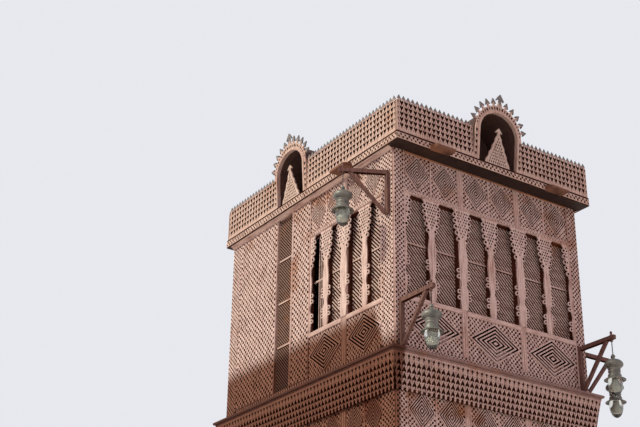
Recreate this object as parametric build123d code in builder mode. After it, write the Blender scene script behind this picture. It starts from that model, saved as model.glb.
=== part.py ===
"""Corner tower of timber lattice bays: two storeys of screened windows on a masonry plinth.

Millimetres, +Z up. The origin is at the centre of the plinth's underside.
The front looks towards -Y and the near street corner is at -X, -Y.
"""

import os
from math import atan2, cos, degrees, pi, radians, sin

from build123d import *

os.makedirs("parts", exist_ok=True)

# Plan, outside the timber frame
width = 5000
depth = 6200
wall = 160
joint_gap = 0.5

# Levels
plinth_height = 410
plinth_reach = 60
ledge_thickness = 95
ledge_reach = 220
ledge_step = 45
storey_height = 4260
floor_band_height = 560
floor_thickness = 200

# Uprights of the frame
corner_front = 260
corner_side = 385
front_post = 150
side_post = 175
mullion = 90
side_bay = 1190
jamb_board = 640
wide_board_thickness = 80
recess_bay = 680
rear_board = 775

# Rails, from the foot of a storey
frieze_height = 175
base_panel_top = 1050
sill_height = 90
window_top = 3320
head_rail = 100
top_rail = 40
rail_reach = 12

# Boards and panels let into the frame
panel_thickness = 40
panel_setback = 30
panel_batten = 34
rhombus_step = 13
rhombus_margin = 34
board_thickness = 28
board_reach = 150
lattice_thickness = 30
lattice_setback = 95
lattice_border = 30
lattice_bar = 26
recess_setback = 45

# Roof edge
deck_thickness = 200
front_overhang = 330
side_overhang = 140
fascia_thickness = 80
parapet_height = 725
parapet_thickness = 45
parapet_setback = 12
finial_pitch = 130
finial_height = 115

# Arch hoods over the parapet
arch_width = 1060
arch_spring = 720
arch_ring = 105
arch_thickness = 60
arch_finial_height = 200
arch_finial_width = 125
crown_finial_height = 300
crown_finial_width = 200
lowest_finial_angle = 18
hood_depth = 760
hood_shell = 45
hood_staves = 6
gable_width = 680
gable_height = 690
gable_thickness = 30
gable_finial_height = 160
gable_finial_width = 140
side_arch_from_front = 3560

# Small roofed beam ends under the parapet
beam_end_length = 480
beam_end_reach = 240
beam_end_height = 130
beam_end_eave = 50
beam_end_from_corner = 935
side_beam_end_from_corner = 1450

# Skirt of hanging boards under the ledge
skirt_thickness = 28
skirt_top_reach = 170
skirt_hem_reach = 60
skirt_drop = 710
tongue_pitch = 130
tongue_length = 95

# Lamp brackets and their lanterns
bracket_timber = 85
bracket_height = 950
bracket_reach = 980
bracket_foot = 60
high_bracket_foot = 2800
high_bracket_swing = 28
bracket_from_corner = 130
far_bracket_from_corner = 200
bracket_tail = 90
chain_drop = 300
chain_radius = 9
lantern_height = 880
lantern_radius = 200
glass_thickness = 5
turned_sides = 8

lower_base = plinth_height + ledge_thickness
lower_top = lower_base + storey_height
ledge_base = lower_top + floor_band_height
upper_base = ledge_base + ledge_thickness
upper_top = upper_base + storey_height
roof_level = upper_top + deck_thickness

front_bay = (width - 2 * corner_front - 2 * front_post) / 3
sill_top = base_panel_top + sill_height
window_height = window_top - sill_top
head_panel_base = window_top + head_rail
head_panel_top = storey_height - top_rail
recess_start = corner_side + 2 * side_bay + side_post + jamb_board
rear_board_start = recess_start + recess_bay
rear_board_end = rear_board_start + rear_board
rear_corner_start = depth - corner_side

sides = ("front", "right", "back", "left")
storeys = (("lower", lower_base), ("upper", upper_base))


def write(piece, name):
    """Label a finished piece and write it out under its own name."""
    piece.part.label = name
    export_step(piece.part, f"parts/{name}.step")


def length_of(side):
    """Length of one side of the frame."""
    return width if side in ("front", "back") else depth


def face_plane(side, out=0.0):
    """Upright plane of one side's outer face: X runs along it, Y runs up, Z points out."""
    if side == "front":
        return Plane(origin=(0, -depth / 2 - out, 0), x_dir=(1, 0, 0), z_dir=(0, -1, 0))
    if side == "right":
        return Plane(origin=(width / 2 + out, 0, 0), x_dir=(0, 1, 0), z_dir=(1, 0, 0))
    if side == "back":
        return Plane(origin=(0, depth / 2 + out, 0), x_dir=(-1, 0, 0), z_dir=(0, 1, 0))
    return Plane(origin=(-width / 2 - out, 0, 0), x_dir=(0, -1, 0), z_dir=(-1, 0, 0))


def along(side, distance):
    """A side's own X at a distance from the front corner, or from the end of front and back."""
    if side == "left":
        return depth / 2 - distance
    return distance - length_of(side) / 2


def upright(side, start, end, bottom, top, out=0.0):
    """Outline of a straight timber or board on one side."""
    with BuildSketch(face_plane(side, out)) as outline:
        with Locations((along(side, (start + end) / 2), (bottom + top) / 2)):
            Rectangle(end - start, top - bottom)
    return outline.sketch


def closed_outline(plane, points):
    """Outline with straight edges through the given points of a plane."""
    with BuildSketch(plane) as outline:
        with BuildLine():
            Polyline(*points, close=True)
        make_face()
    return outline.sketch


def plan_corners(reach, front_reach=None):
    """Plan corners of a rectangle outside the frame: front left, front right, back right, back left."""
    front = reach if front_reach is None else front_reach
    x = width / 2 + reach
    return [
        (-x, -depth / 2 - front),
        (x, -depth / 2 - front),
        (x, depth / 2 + reach),
        (-x, depth / 2 + reach),
    ]


def mitred_board(side, outer, inner, level):
    """Plan outline of one side's board in a mitred frame, between two rectangles."""
    first = sides.index(side)
    second = (first + 1) % 4
    shift = face_plane(side).x_dir * joint_gap / 2
    points = [
        (outer[first][0] + shift.X, outer[first][1] + shift.Y),
        (outer[second][0] - shift.X, outer[second][1] - shift.Y),
        (inner[second][0] - shift.X, inner[second][1] - shift.Y),
        (inner[first][0] + shift.X, inner[first][1] + shift.Y),
    ]
    return closed_outline(Plane.XY.offset(level), points)


def bays(side):
    """Start and end of each window bay of a side."""
    if side in ("front", "back"):
        pitch = front_bay + front_post
        return [(corner_front + i * pitch, corner_front + i * pitch + front_bay) for i in range(3)]
    pitch = side_bay + side_post
    return [(corner_side + i * pitch, corner_side + i * pitch + side_bay) for i in range(2)]


def middle_of(bay):
    """Middle of a bay."""
    return (bay[0] + bay[1]) / 2


def windows(side):
    """Start and end of each window of a side, two to a bay."""
    found = []
    for bay in bays(side):
        found.append((bay[0], middle_of(bay) - mullion / 2))
        found.append((middle_of(bay) + mullion / 2, bay[1]))
    return found


def stands_open(side, index):
    """The rearmost window of the left side stands open on each storey, with no lattice in it."""
    return side == "left" and index == len(windows(side)) - 1


def rhombus(side, centre, middle, half_width, half_height, out):
    """Outline of one step of a stepped rhombus."""
    x = along(side, centre)
    points = [
        (x - half_width, middle),
        (x, middle - half_height),
        (x + half_width, middle),
        (x, middle + half_height),
    ]
    return closed_outline(face_plane(side, out), points)


# Scalloped edge of a fretwork board, from foot to head: share of the height, share of the reach
scallops = ((0.0, 0.30), (0.13, 0.60), (0.27, 0.26), (0.41, 0.60), (0.52, 0.26), (0.74, 1.0), (1.0, 0.85))


def scalloped_edge(edge, sense, bottom, height):
    """Points of a scalloped edge that leaves a straight line by up to the board's reach."""
    return [(edge + sense * board_reach * reach, bottom + height * rise) for rise, reach in scallops]


def jamb_fretwork(side, bay, sense, base):
    """Outline of the fretwork board at one jamb of a bay; sense points into the bay."""
    jamb = along(side, bay[0] if sense > 0 else bay[1])
    way = -sense if side == "left" else sense
    bottom = base + sill_top
    points = [(jamb, bottom)]
    points += scalloped_edge(jamb, way, bottom, window_height)
    points += [(jamb, bottom + window_height)]
    return closed_outline(face_plane(side), points)


def middle_fretwork(side, bay, base):
    """Outline of the fretwork board over a bay's mullion, scalloped on both edges."""
    x = along(side, middle_of(bay))
    bottom = base + sill_top
    right = scalloped_edge(x + mullion / 4, 1, bottom, window_height)
    left = scalloped_edge(x - mullion / 4, -1, bottom, window_height)
    return closed_outline(face_plane(side), right + left[::-1])


def lattice(side, start, end, bottom, top, rows, out):
    """Outline of one coarse lattice: a border, crossed laths in rows and a rail between rows."""
    x = along(side, (start + end) / 2)
    clear_width = end - start - 2 * lattice_border
    row_height = (top - bottom - lattice_border) / rows
    clear_height = row_height - lattice_border
    diagonal = (clear_width**2 + clear_height**2) ** 0.5
    with BuildSketch(face_plane(side, out)) as outline:
        with Locations((x, (bottom + top) / 2)):
            Rectangle(end - start, top - bottom)
        for row in range(rows):
            middle = bottom + lattice_border + row * row_height + clear_height / 2
            with Locations((x, middle)):
                Rectangle(clear_width, clear_height, mode=Mode.SUBTRACT)
            slope = Vector(clear_width, clear_height).get_signed_angle(Vector(1, 0)) * -1
            for turn in (slope, -slope):
                with Locations(Location((x, middle), turn)):
                    Rectangle(diagonal, lattice_bar)
    return outline.sketch


# Masonry plinth, one mass that carries the timber frame
with BuildPart() as plinth:
    Box(
        width + 2 * plinth_reach,
        depth + 2 * plinth_reach,
        plinth_height,
        align=(Align.CENTER, Align.CENTER, Align.MIN),
    )
write(plinth, "plinth")

# Ledges that carry each storey's frame: a sill plate with two mouldings outside
for name, level in (("base_ledge", plinth_height), ("upper_ledge", ledge_base)):
    with BuildPart() as ledge:
        for side in sides:
            lower_moulding = mitred_board(
                side, plan_corners(ledge_reach - ledge_step), plan_corners(-wall), level
            )
            extrude(lower_moulding, amount=ledge_thickness / 2)
            upper_moulding = mitred_board(
                side, plan_corners(ledge_reach), plan_corners(-wall), level + ledge_thickness / 2
            )
            extrude(upper_moulding, amount=ledge_thickness / 2)
    write(ledge, name)

# Boards that close the floor's depth between the storeys, behind the skirt
with BuildPart() as floor_band:
    for side in sides:
        extrude(
            mitred_board(side, plan_corners(0), plan_corners(-wall), lower_top),
            amount=floor_band_height,
        )
write(floor_band, "floor_band")

with BuildPart() as upper_floor:
    with Locations((0, 0, upper_base - floor_thickness)):
        Box(
            width - 2 * wall,
            depth - 2 * wall,
            floor_thickness,
            align=(Align.CENTER, Align.CENTER, Align.MIN),
        )
write(upper_floor, "upper_floor")

# Skirt: one leaning board a side, its hem cut into pointed tongues
skirt_lean = degrees(atan2(skirt_top_reach - skirt_hem_reach, skirt_drop))
hem = ledge_base - skirt_drop


def leaning_plane(side):
    """Plane of a skirt board's face: X runs along it and Y runs up its slope from the hem."""
    plane = face_plane(side, skirt_hem_reach)
    normal = plane.z_dir.rotate(Axis((0, 0, 0), tuple(plane.x_dir)), skirt_lean)
    return Plane(origin=plane.origin + Vector(0, 0, hem), x_dir=plane.x_dir, z_dir=normal)


for side in sides:
    skirt_length = length_of(side) + 2 * skirt_hem_reach
    tongues = round(skirt_length / tongue_pitch)
    pitch = skirt_length / tongues
    board_end = skirt_length / 2 + skirt_top_reach
    outline = [(board_end, tongue_length), (board_end, 2 * skirt_drop)]
    outline += [(-board_end, 2 * skirt_drop), (-board_end, tongue_length)]
    for i in range(tongues):
        outline.append((-skirt_length / 2 + i * pitch, tongue_length))
        outline.append((-skirt_length / 2 + (i + 0.5) * pitch, 0))
    outline.append((skirt_length / 2, tongue_length))
    quarter = mitred_board(side, plan_corners(2 * skirt_top_reach), plan_corners(-wall), hem)
    with BuildPart() as skirt:
        extrude(closed_outline(leaning_plane(side), outline), amount=-skirt_thickness)
        extrude(quarter, amount=skirt_drop, mode=Mode.INTERSECT)
    write(skirt, f"skirt_{side}")

# The frame, panels, fretwork and lattices of each storey
for storey, base in storeys:
    with BuildPart() as corner_posts:
        for side in ("right", "left"):
            for start, end in ((0, corner_side), (rear_corner_start, depth)):
                extrude(upright(side, start, end, base, base + storey_height), amount=-corner_front)
    write(corner_posts, f"{storey}_corner_posts")

    with BuildPart() as bay_posts:
        for side in sides:
            bay_list = bays(side)
            for i in range(len(bay_list) - 1):
                extrude(
                    upright(
                        side, bay_list[i][1], bay_list[i + 1][0], base + frieze_height, base + storey_height
                    ),
                    amount=-wall,
                )
            for bay in bay_list:
                extrude(
                    upright(
                        side,
                        middle_of(bay) - mullion / 2,
                        middle_of(bay) + mullion / 2,
                        base + sill_top,
                        base + window_top,
                        -board_thickness,
                    ),
                    amount=board_thickness - wall,
                )
        for side in ("right", "left"):
            for start, end in (
                (recess_start - jamb_board, recess_start),
                (rear_board_start, rear_board_end - joint_gap / 2),
                (rear_board_end + joint_gap / 2, rear_corner_start),
            ):
                extrude(
                    upright(side, start, end, base + frieze_height, base + storey_height),
                    amount=-wide_board_thickness,
                )
    write(bay_posts, f"{storey}_bay_posts")

    with BuildPart() as rails:
        for side in sides:
            first = bays(side)[0][0]
            last = rear_corner_start if side in ("right", "left") else bays(side)[-1][1]
            extrude(upright(side, first, last, base, base + frieze_height), amount=-wall)
            for bay in bays(side):
                for bottom, height, reach in (
                    (base_panel_top, sill_height, rail_reach),
                    (window_top, head_rail, rail_reach),
                    (head_panel_top, top_rail, 0),
                ):
                    extrude(
                        upright(side, bay[0], bay[1], base + bottom, base + bottom + height, reach),
                        amount=-wall - reach,
                    )
            if side in ("right", "left"):
                extrude(
                    upright(
                        side,
                        recess_start,
                        rear_board_start,
                        base + head_panel_top,
                        base + storey_height,
                    ),
                    amount=-wall,
                )
    write(rails, f"{storey}_rails")

    with BuildPart() as head_panels:
        bottom = base + head_panel_base
        top = base + head_panel_top
        for side in sides:
            for bay in bays(side):
                extrude(upright(side, bay[0], bay[1], bottom, top, -panel_setback), amount=-panel_thickness)
                middle = middle_of(bay)
                extrude(
                    upright(
                        side, middle - panel_batten / 2, middle + panel_batten / 2, bottom, top,
                        -panel_setback,
                    ),
                    amount=panel_setback,
                )
                half = (bay[1] - bay[0]) / 4
                for centre in (middle - half, middle + half):
                    extrude(
                        rhombus(
                            side,
                            centre,
                            (bottom + top) / 2,
                            half - rhombus_margin,
                            (top - bottom) / 2 - rhombus_margin / 2,
                            -panel_setback,
                        ),
                        amount=rhombus_step,
                    )
    write(head_panels, f"{storey}_head_panels")

    with BuildPart() as base_panels:
        bottom = base + frieze_height
        top = base + base_panel_top
        for side in sides:
            for bay in bays(side):
                extrude(upright(side, bay[0], bay[1], bottom, top, -panel_setback), amount=-panel_thickness)
                for step in range(2):
                    share = 1 - step * 0.45
                    extrude(
                        rhombus(
                            side,
                            middle_of(bay),
                            (bottom + top) / 2,
                            ((bay[1] - bay[0]) / 2 - rhombus_margin) * share,
                            ((top - bottom) / 2 - rhombus_margin / 2) * share,
                            step * rhombus_step - panel_setback,
                        ),
                        amount=rhombus_step,
                    )
    write(base_panels, f"{storey}_base_panels")

    with BuildPart() as fretwork:
        for side in sides:
            for bay in bays(side):
                for sense in (1, -1):
                    extrude(jamb_fretwork(side, bay, sense, base), amount=-board_thickness)
                extrude(middle_fretwork(side, bay, base), amount=-board_thickness)
    write(fretwork, f"{storey}_fretwork")

    for side in sides:
        with BuildPart() as lattices:
            for index, (start, end) in enumerate(windows(side)):
                if not stands_open(side, index):
                    extrude(
                        lattice(side, start, end, base + sill_top, base + window_top, 1, -lattice_setback),
                        amount=-lattice_thickness,
                    )
            if side in ("right", "left"):
                extrude(
                    lattice(
                        side,
                        recess_start,
                        rear_board_start,
                        base + frieze_height,
                        base + head_panel_top,
                        2,
                        -recess_setback,
                    ),
                    amount=-lattice_thickness,
                )
        write(lattices, f"{storey}_lattice_{side}")

# Roof deck, whose overhang is the soffit, and the fascia round its edge
with BuildPart() as roof_deck:
    inner = plan_corners(side_overhang - fascia_thickness, front_overhang - fascia_thickness)
    extrude(closed_outline(Plane.XY.offset(upper_top), inner), amount=deck_thickness)
write(roof_deck, "roof_deck")

with BuildPart() as fascia:
    for side in sides:
        board = mitred_board(
            side,
            plan_corners(side_overhang, front_overhang),
            plan_corners(side_overhang - fascia_thickness, front_overhang - fascia_thickness),
            upper_top,
        )
        extrude(board, amount=deck_thickness)
write(fascia, "fascia")


def overhang(side):
    """How far the roof's edge stands out over one side."""
    return front_overhang if side == "front" else side_overhang


def arch_centre(side):
    """Distance of a side's arch from the front corner, or from the end of front and back."""
    return width / 2 if side in ("front", "back") else side_arch_from_front


def arrow_points(head_width, height):
    """Plain arrowhead, from its right corner round to its left corner."""
    return [(head_width / 2, 0), (0, height), (-head_width / 2, 0)]


def spade_points(head_width, height):
    """Spade on a narrow foot, from its right foot round to its left foot."""
    neck = head_width * 0.2
    shoulder = height * 0.4
    return [
        (neck, 0),
        (head_width / 2, shoulder),
        (0, height),
        (-head_width / 2, shoulder),
        (-neck, 0),
    ]


def parapet_board(side, start, end):
    """Outline of a stretch of parapet with its row of finials."""
    low, high = sorted((along(side, start), along(side, end)))
    count = int((high - low) / finial_pitch)
    pitch = (high - low) / count
    top = roof_level + parapet_height
    points = [(low, roof_level), (high, roof_level), (high, top)]
    for i in reversed(range(count)):
        points += [(low + (i + 0.5) * pitch, top + finial_height), (low + i * pitch, top)]
    return closed_outline(face_plane(side, overhang(side) - parapet_setback), points)


arch_half = arch_width / 2 + arch_ring
for side in sides:
    if side in ("front", "back"):
        start = parapet_setback - side_overhang
        end = width - start
    else:
        corner_lap = parapet_setback + parapet_thickness + joint_gap
        start = corner_lap - front_overhang
        end = depth + side_overhang - corner_lap
    with BuildPart() as parapet:
        for stretch in (
            (start, arch_centre(side) - arch_half),
            (arch_centre(side) + arch_half, end),
        ):
            extrude(parapet_board(side, *stretch), amount=-parapet_thickness)
    write(parapet, f"parapet_{side}")


def arch_point(radius, angle):
    """Point on a ring about the arch's springing, above the roof's edge."""
    return (radius * cos(radians(angle)), roof_level + arch_spring + radius * sin(radians(angle)))


arch_rows = (2, 2, 3, 2, 2)
finials_round = sum(arch_rows)
finial_turn = (180 - 2 * lowest_finial_angle) / (finials_round - 1)


def finial_angle(index):
    """Angle of a radiating finial, counted round from the right springing."""
    return lowest_finial_angle + index * finial_turn


def joint_angle(index):
    """Angle of the joint before a finial; the ring's boards meet there."""
    if index in (0, finials_round):
        return 180 * index / finials_round
    return finial_angle(index) - finial_turn / 2


def arch_plane(side, back=0.0):
    """Plane of an arch's face, with its X measured from the arch's middle."""
    plane = face_plane(side, overhang(side) - back)
    plane.origin += plane.x_dir * along(side, arch_centre(side))
    return plane


def radial_finial(radius, angle, outline):
    """Points of a finial that stands out from the arch ring at an angle."""
    lap = arch_ring / 6
    points = []
    for px, pz in outline:
        reach = radius - lap + pz
        turn = radians(angle)
        x = reach * cos(turn) + px * sin(turn)
        z = reach * sin(turn) - px * cos(turn)
        points.append((x, roof_level + arch_spring + z))
    return points


def arch_segment(side, first, count):
    """One fretted board of the arch ring with its radiating finials."""
    inner = arch_width / 2
    outer = inner + arch_ring
    gap = degrees(joint_gap / 2 / inner)
    angles = [joint_angle(first + i) for i in range(count + 1)]
    angles[0] += gap
    angles[-1] -= gap
    rim = [arch_point(outer, angle) for angle in angles]
    rim += [arch_point(inner, angle) for angle in reversed(angles)]
    with BuildSketch(arch_plane(side)) as outline:
        with BuildLine():
            Polyline(*rim, close=True)
        make_face()
        for i in range(first, first + count):
            if 2 * i + 1 == finials_round:
                finial = spade_points(crown_finial_width, crown_finial_height)
            else:
                finial = arrow_points(arch_finial_width, arch_finial_height)
            with BuildLine():
                Polyline(*radial_finial(outer, finial_angle(i), finial), close=True)
            make_face()
    return outline.sketch


# Arch rings: two jambs and five curved boards to each arch
with BuildPart() as arch_rings:
    for side in sides:
        for sense in (-1, 1):
            x = sense * (arch_width + arch_ring) / 2
            with BuildSketch(arch_plane(side)) as jamb:
                with Locations((x, roof_level + arch_spring / 2)):
                    Rectangle(arch_ring, arch_spring - joint_gap)
            extrude(amount=-arch_thickness)
        first = 0
        for count in arch_rows:
            extrude(arch_segment(side, first, count), amount=-arch_thickness)
            first += count
write(arch_rings, "arch_rings")

# Barrel hoods behind the arches: side boards, flat staves and a back board
stave_turn = 180 / hood_staves
with BuildPart() as arch_hoods:
    for side in sides:
        inner = arch_width / 2
        outer = inner + hood_shell
        for sense in (-1, 1):
            x = sense * (inner + hood_shell / 2)
            with BuildSketch(arch_plane(side, arch_thickness)) as side_board:
                with Locations((x, roof_level + arch_spring / 2)):
                    Rectangle(hood_shell, arch_spring - joint_gap)
            extrude(amount=-hood_depth)
        for i in range(hood_staves):
            gap = degrees(joint_gap / 2 / inner)
            low = i * stave_turn + gap
            high = (i + 1) * stave_turn - gap
            corners = [arch_point(outer, low), arch_point(outer, high)]
            corners += [arch_point(inner, high), arch_point(inner, low)]
            extrude(closed_outline(arch_plane(side, arch_thickness), corners), amount=-hood_depth)
write(arch_hoods, "arch_hoods")

with BuildPart() as hood_backs:
    for side in sides:
        outer = arch_width / 2 + hood_shell
        corners = [(-outer, roof_level), (outer, roof_level)]
        corners += [arch_point(outer, i * stave_turn) for i in range(hood_staves + 1)]
        back = closed_outline(arch_plane(side, arch_thickness + hood_depth), corners)
        extrude(back, amount=-hood_shell)
write(hood_backs, "hood_backs")

# Tall pierced gable that stands in each arch
with BuildPart() as arch_gables:
    for side in sides:
        top = roof_level + gable_height
        half = gable_finial_width / 4
        points = [(-gable_width / 2, roof_level), (gable_width / 2, roof_level), (half, top)]
        finial = spade_points(gable_finial_width, gable_finial_height)
        points += [(px, top + pz) for px, pz in finial]
        points += [(-half, top)]
        extrude(closed_outline(arch_plane(side), points), amount=-gable_thickness)
write(arch_gables, "arch_gables")

# Beam ends with small sloping roofs on the fascia
with BuildPart() as beam_ends:
    for side in sides:
        if side in ("front", "back"):
            places = (beam_end_from_corner, width - beam_end_from_corner)
        else:
            places = (side_beam_end_from_corner,)
        for place in places:
            plane = face_plane(side, overhang(side))
            foot = plane.origin + plane.x_dir * (along(side, place) - beam_end_length / 2)
            section = Plane(origin=foot, x_dir=plane.z_dir, z_dir=plane.x_dir * -1)
            points = [(0, upper_top), (0, upper_top + beam_end_height)]
            points += [(beam_end_reach, upper_top + beam_end_eave), (beam_end_reach, upper_top)]
            mirrored = section.y_dir.Z < 0
            outline = closed_outline(section, [(px, -pz) for px, pz in points] if mirrored else points)
            extrude(outline, amount=beam_end_length, dir=plane.x_dir)
write(beam_ends, "beam_ends")

# Lamp brackets: side, distance from the corner, height of the foot and swing about the post
brackets = (
    ("front", bracket_from_corner, upper_base + bracket_foot, 0),
    ("front", width - far_bracket_from_corner, upper_base + bracket_foot, 0),
    ("right", bracket_from_corner, upper_base + bracket_foot, 0),
    ("left", bracket_from_corner, upper_base + high_bracket_foot, high_bracket_swing),
)


def bracket_plane(side, distance, foot, swing):
    """Upright plane through a bracket's arm: X points out along the arm, Y runs up."""
    wall_plane = face_plane(side, bracket_timber / 2)
    origin = wall_plane.origin + wall_plane.x_dir * along(side, distance) + Vector(0, 0, foot)
    arm = wall_plane.z_dir.rotate(Axis.Z, -swing)
    return Plane(origin=origin, x_dir=arm, z_dir=arm.cross(Vector(0, 0, 1)))


with BuildPart() as lamp_brackets:
    for side, distance, foot, swing in brackets:
        half = bracket_timber / 2
        extrude(
            upright(side, distance - half, distance + half, foot, foot + bracket_height, bracket_timber),
            amount=-bracket_timber,
        )
        arm_base = bracket_height - bracket_timber
        arm = [(0, arm_base), (bracket_reach, arm_base)]
        arm += [(bracket_reach, bracket_height), (0, bracket_height)]
        plane = bracket_plane(side, distance, foot, swing)
        extrude(closed_outline(plane, arm), amount=half * 0.9, both=True)
        strut_top = bracket_reach * 0.72
        strut = [(0, 0), (bracket_timber * 0.9, 0)]
        strut += [(strut_top + bracket_timber, arm_base), (strut_top, arm_base)]
        extrude(closed_outline(plane, strut), amount=half * 0.8, both=True)
write(lamp_brackets, "lamp_brackets")


def hanging_point(bracket):
    """Where a lantern's chain meets the underside of the arm."""
    plane = bracket_plane(*bracket)
    return plane.origin + plane.x_dir * (bracket_reach - bracket_tail) + Vector(
        0, 0, bracket_height - bracket_timber
    )


with BuildPart() as lantern_chains:
    for bracket in brackets:
        top = hanging_point(bracket)
        with BuildSketch(Plane(origin=top)) as link:
            RegularPolygon(chain_radius, 6)
        extrude(amount=-chain_drop)
write(lantern_chains, "lantern_chains")

# Turned lantern parts, from the top down: share of the lantern's radius, share of its height
head_profile = (
    (0.12, 1.0), (0.22, 0.93), (0.34, 0.86), (0.82, 0.80), (1.0, 0.71), (0.58, 0.62), (0.60, 0.46),
    (1.06, 0.36),
)
bell_profile = ((0.70, 0.36), (0.72, 0.25), (0.48, 0.07), (0.14, 0.0))
bulb_profile = ((0.17, 0.36), (0.17, 0.29), (0.30, 0.20), (0.12, 0.10))


def turned_form(profile, inset=0.0):
    """Turned piece about Z with few flat sides: one silhouette crossed with itself, its foot at zero."""
    right = [(lantern_radius * share - inset, lantern_height * rise) for share, rise in profile]
    silhouette = right + [(-x, z) for x, z in reversed(right)]
    with BuildPart() as form:
        for i in range(turned_sides // 2):
            turn = 2 * pi * i / turned_sides
            plane = Plane(origin=(0, 0, 0), x_dir=(cos(turn), sin(turn), 0), z_dir=(sin(turn), -cos(turn), 0))
            crossing = Mode.INTERSECT if i else Mode.ADD
            outline = closed_outline(plane, silhouette)
            extrude(outline, amount=2 * lantern_radius, both=True, mode=crossing)
    return form.part


lantern_feet = [hanging_point(bracket) - Vector(0, 0, chain_drop + lantern_height) for bracket in brackets]
head_form = turned_form(head_profile)
glass_form = turned_form(bell_profile) - turned_form(bell_profile[:-1], glass_thickness)
bulb_form = turned_form(bulb_profile)

with BuildPart() as lantern_heads:
    with Locations(*lantern_feet):
        add(head_form)
write(lantern_heads, "lantern_heads")

with BuildPart() as lantern_glasses:
    with Locations(*lantern_feet):
        add(glass_form)
write(lantern_glasses, "lantern_glasses")

with BuildPart() as lantern_bulbs:
    with Locations(*lantern_feet):
        add(bulb_form)
write(lantern_bulbs, "lantern_bulbs")
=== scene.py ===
from math import atan2, cos, degrees, pi, radians, sin

import bmesh
import bpy
from mathutils import Matrix, Vector


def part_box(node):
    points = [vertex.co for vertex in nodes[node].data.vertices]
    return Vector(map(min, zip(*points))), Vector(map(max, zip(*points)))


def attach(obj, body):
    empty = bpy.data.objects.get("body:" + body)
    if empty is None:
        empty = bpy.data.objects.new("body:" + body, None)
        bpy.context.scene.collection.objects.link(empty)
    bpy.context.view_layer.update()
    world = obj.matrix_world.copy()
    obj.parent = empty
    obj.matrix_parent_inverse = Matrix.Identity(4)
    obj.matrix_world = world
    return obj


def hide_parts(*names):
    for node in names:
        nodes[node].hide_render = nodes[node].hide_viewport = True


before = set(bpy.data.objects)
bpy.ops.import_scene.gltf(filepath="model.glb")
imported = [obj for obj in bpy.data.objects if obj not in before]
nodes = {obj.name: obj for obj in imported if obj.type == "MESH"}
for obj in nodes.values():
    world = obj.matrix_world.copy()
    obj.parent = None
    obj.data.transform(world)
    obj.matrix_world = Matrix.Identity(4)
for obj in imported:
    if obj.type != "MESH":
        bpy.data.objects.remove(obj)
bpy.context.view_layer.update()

# Camera
# It stands in the street and looks up at the near corner, from well below the tower's own foot.
# The place and angles come from the lines of the tower in the photograph.
focal_pixels = 1243.4
image_width_pixels = 640
sensor_width = 36.0
camera_place = Vector((-15.85, -20.51, -2.29))
camera_pitch = radians(25.53)
camera_yaw = radians(33.73)
camera_roll = radians(0.95)

lens = bpy.data.cameras.new("street_view")
lens.sensor_width = sensor_width
lens.lens = focal_pixels / image_width_pixels * sensor_width
lens.clip_end = 500
camera = bpy.data.objects.new("street_view", lens)
bpy.context.scene.collection.objects.link(camera)
camera.matrix_world = (
    Matrix.Translation(camera_place)
    @ Matrix.Rotation(-camera_yaw, 4, "Z")
    @ Matrix.Rotation(pi / 2 + camera_pitch, 4, "X")
    @ Matrix.Rotation(camera_roll, 4, "Z")
)
bpy.context.scene.camera = camera

# Plinth
# Two courses of coral limestone blocks under a thin lime wash, laid against a core of rubble
# and mortar. It carries the whole timber frame.
block_length = 0.46
block_depth = 0.09
block_joint = 0.012
block_edge = 0.007
block_courses = 2
core_drop = 0.002
limewash = (0.70, 0.64, 0.56)
limestone = (0.47, 0.40, 0.32)
mortar = (0.36, 0.31, 0.26)


def add_node(tree, kind, sockets=None, **settings):
    """Add one shader node, set its options, and fill or link its sockets."""
    made = tree.nodes.new(kind)
    for label, value in settings.items():
        setattr(made, label, value)
    for label, value in (sockets or {}).items():
        if isinstance(value, bpy.types.NodeSocket):
            tree.links.new(value, made.inputs[label])
        else:
            made.inputs[label].default_value = value
    return made


def calculate(tree, operation, first, second=0.0):
    """The result of one sum on two values."""
    return add_node(tree, "ShaderNodeMath", {0: first, 1: second}, operation=operation).outputs[0]


def fade_between(tree, value, low, high):
    """A smooth mask that is 0 below the low value and 1 above the high one."""
    limits = {"Value": value, "From Min": low, "From Max": high}
    return add_node(tree, "ShaderNodeMapRange", limits, interpolation_type="SMOOTHSTEP").outputs[0]


def blend_colours(tree, mask, first, second, mode="MIX"):
    """One colour laid over another through a mask."""
    mix = {"Factor": mask, "A": first, "B": second}
    made = tree.nodes.new("ShaderNodeMix")
    made.data_type = "RGBA"
    made.blend_type = mode
    for label, value in mix.items():
        wanted = "VALUE" if label == "Factor" else "RGBA"
        socket = next(s for s in made.inputs if s.name == label and s.type == wanted)
        if isinstance(value, bpy.types.NodeSocket):
            tree.links.new(value, socket)
        else:
            socket.default_value = value
    return next(s for s in made.outputs if s.type == "RGBA")


def mottle(tree, vector, scale, detail=4.0, roughness=0.55):
    """A cloudy value between 0 and 1 at one scale."""
    look = {"Vector": vector, "Scale": scale, "Detail": detail, "Roughness": roughness}
    return add_node(tree, "ShaderNodeTexNoise", look).outputs["Fac"]


def start_group(name, inputs, outputs):
    """A new shader node group with named sockets, and its two end nodes."""
    group = bpy.data.node_groups.new(name, "ShaderNodeTree")
    kinds = {"colour": "NodeSocketColor", "value": "NodeSocketFloat", "vector": "NodeSocketVector"}
    for label, kind in inputs:
        group.interface.new_socket(label, in_out="INPUT", socket_type=kinds[kind])
    for label, kind in outputs:
        group.interface.new_socket(label, in_out="OUTPUT", socket_type=kinds[kind])
    return group, group.nodes.new("NodeGroupInput"), group.nodes.new("NodeGroupOutput")


def start_material(name):
    """A new node material, with its tree and its surface shader."""
    made = bpy.data.materials.new(name)
    made.use_nodes = True
    return made, made.node_tree, made.node_tree.nodes["Principled BSDF"]


def opaque(colour):
    """A colour with its alpha of one."""
    return (*colour, 1.0)


def place_on_object(tree):
    """Each point's own place, which every finish reads."""
    return add_node(tree, "ShaderNodeTexCoord").outputs["Object"]


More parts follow.
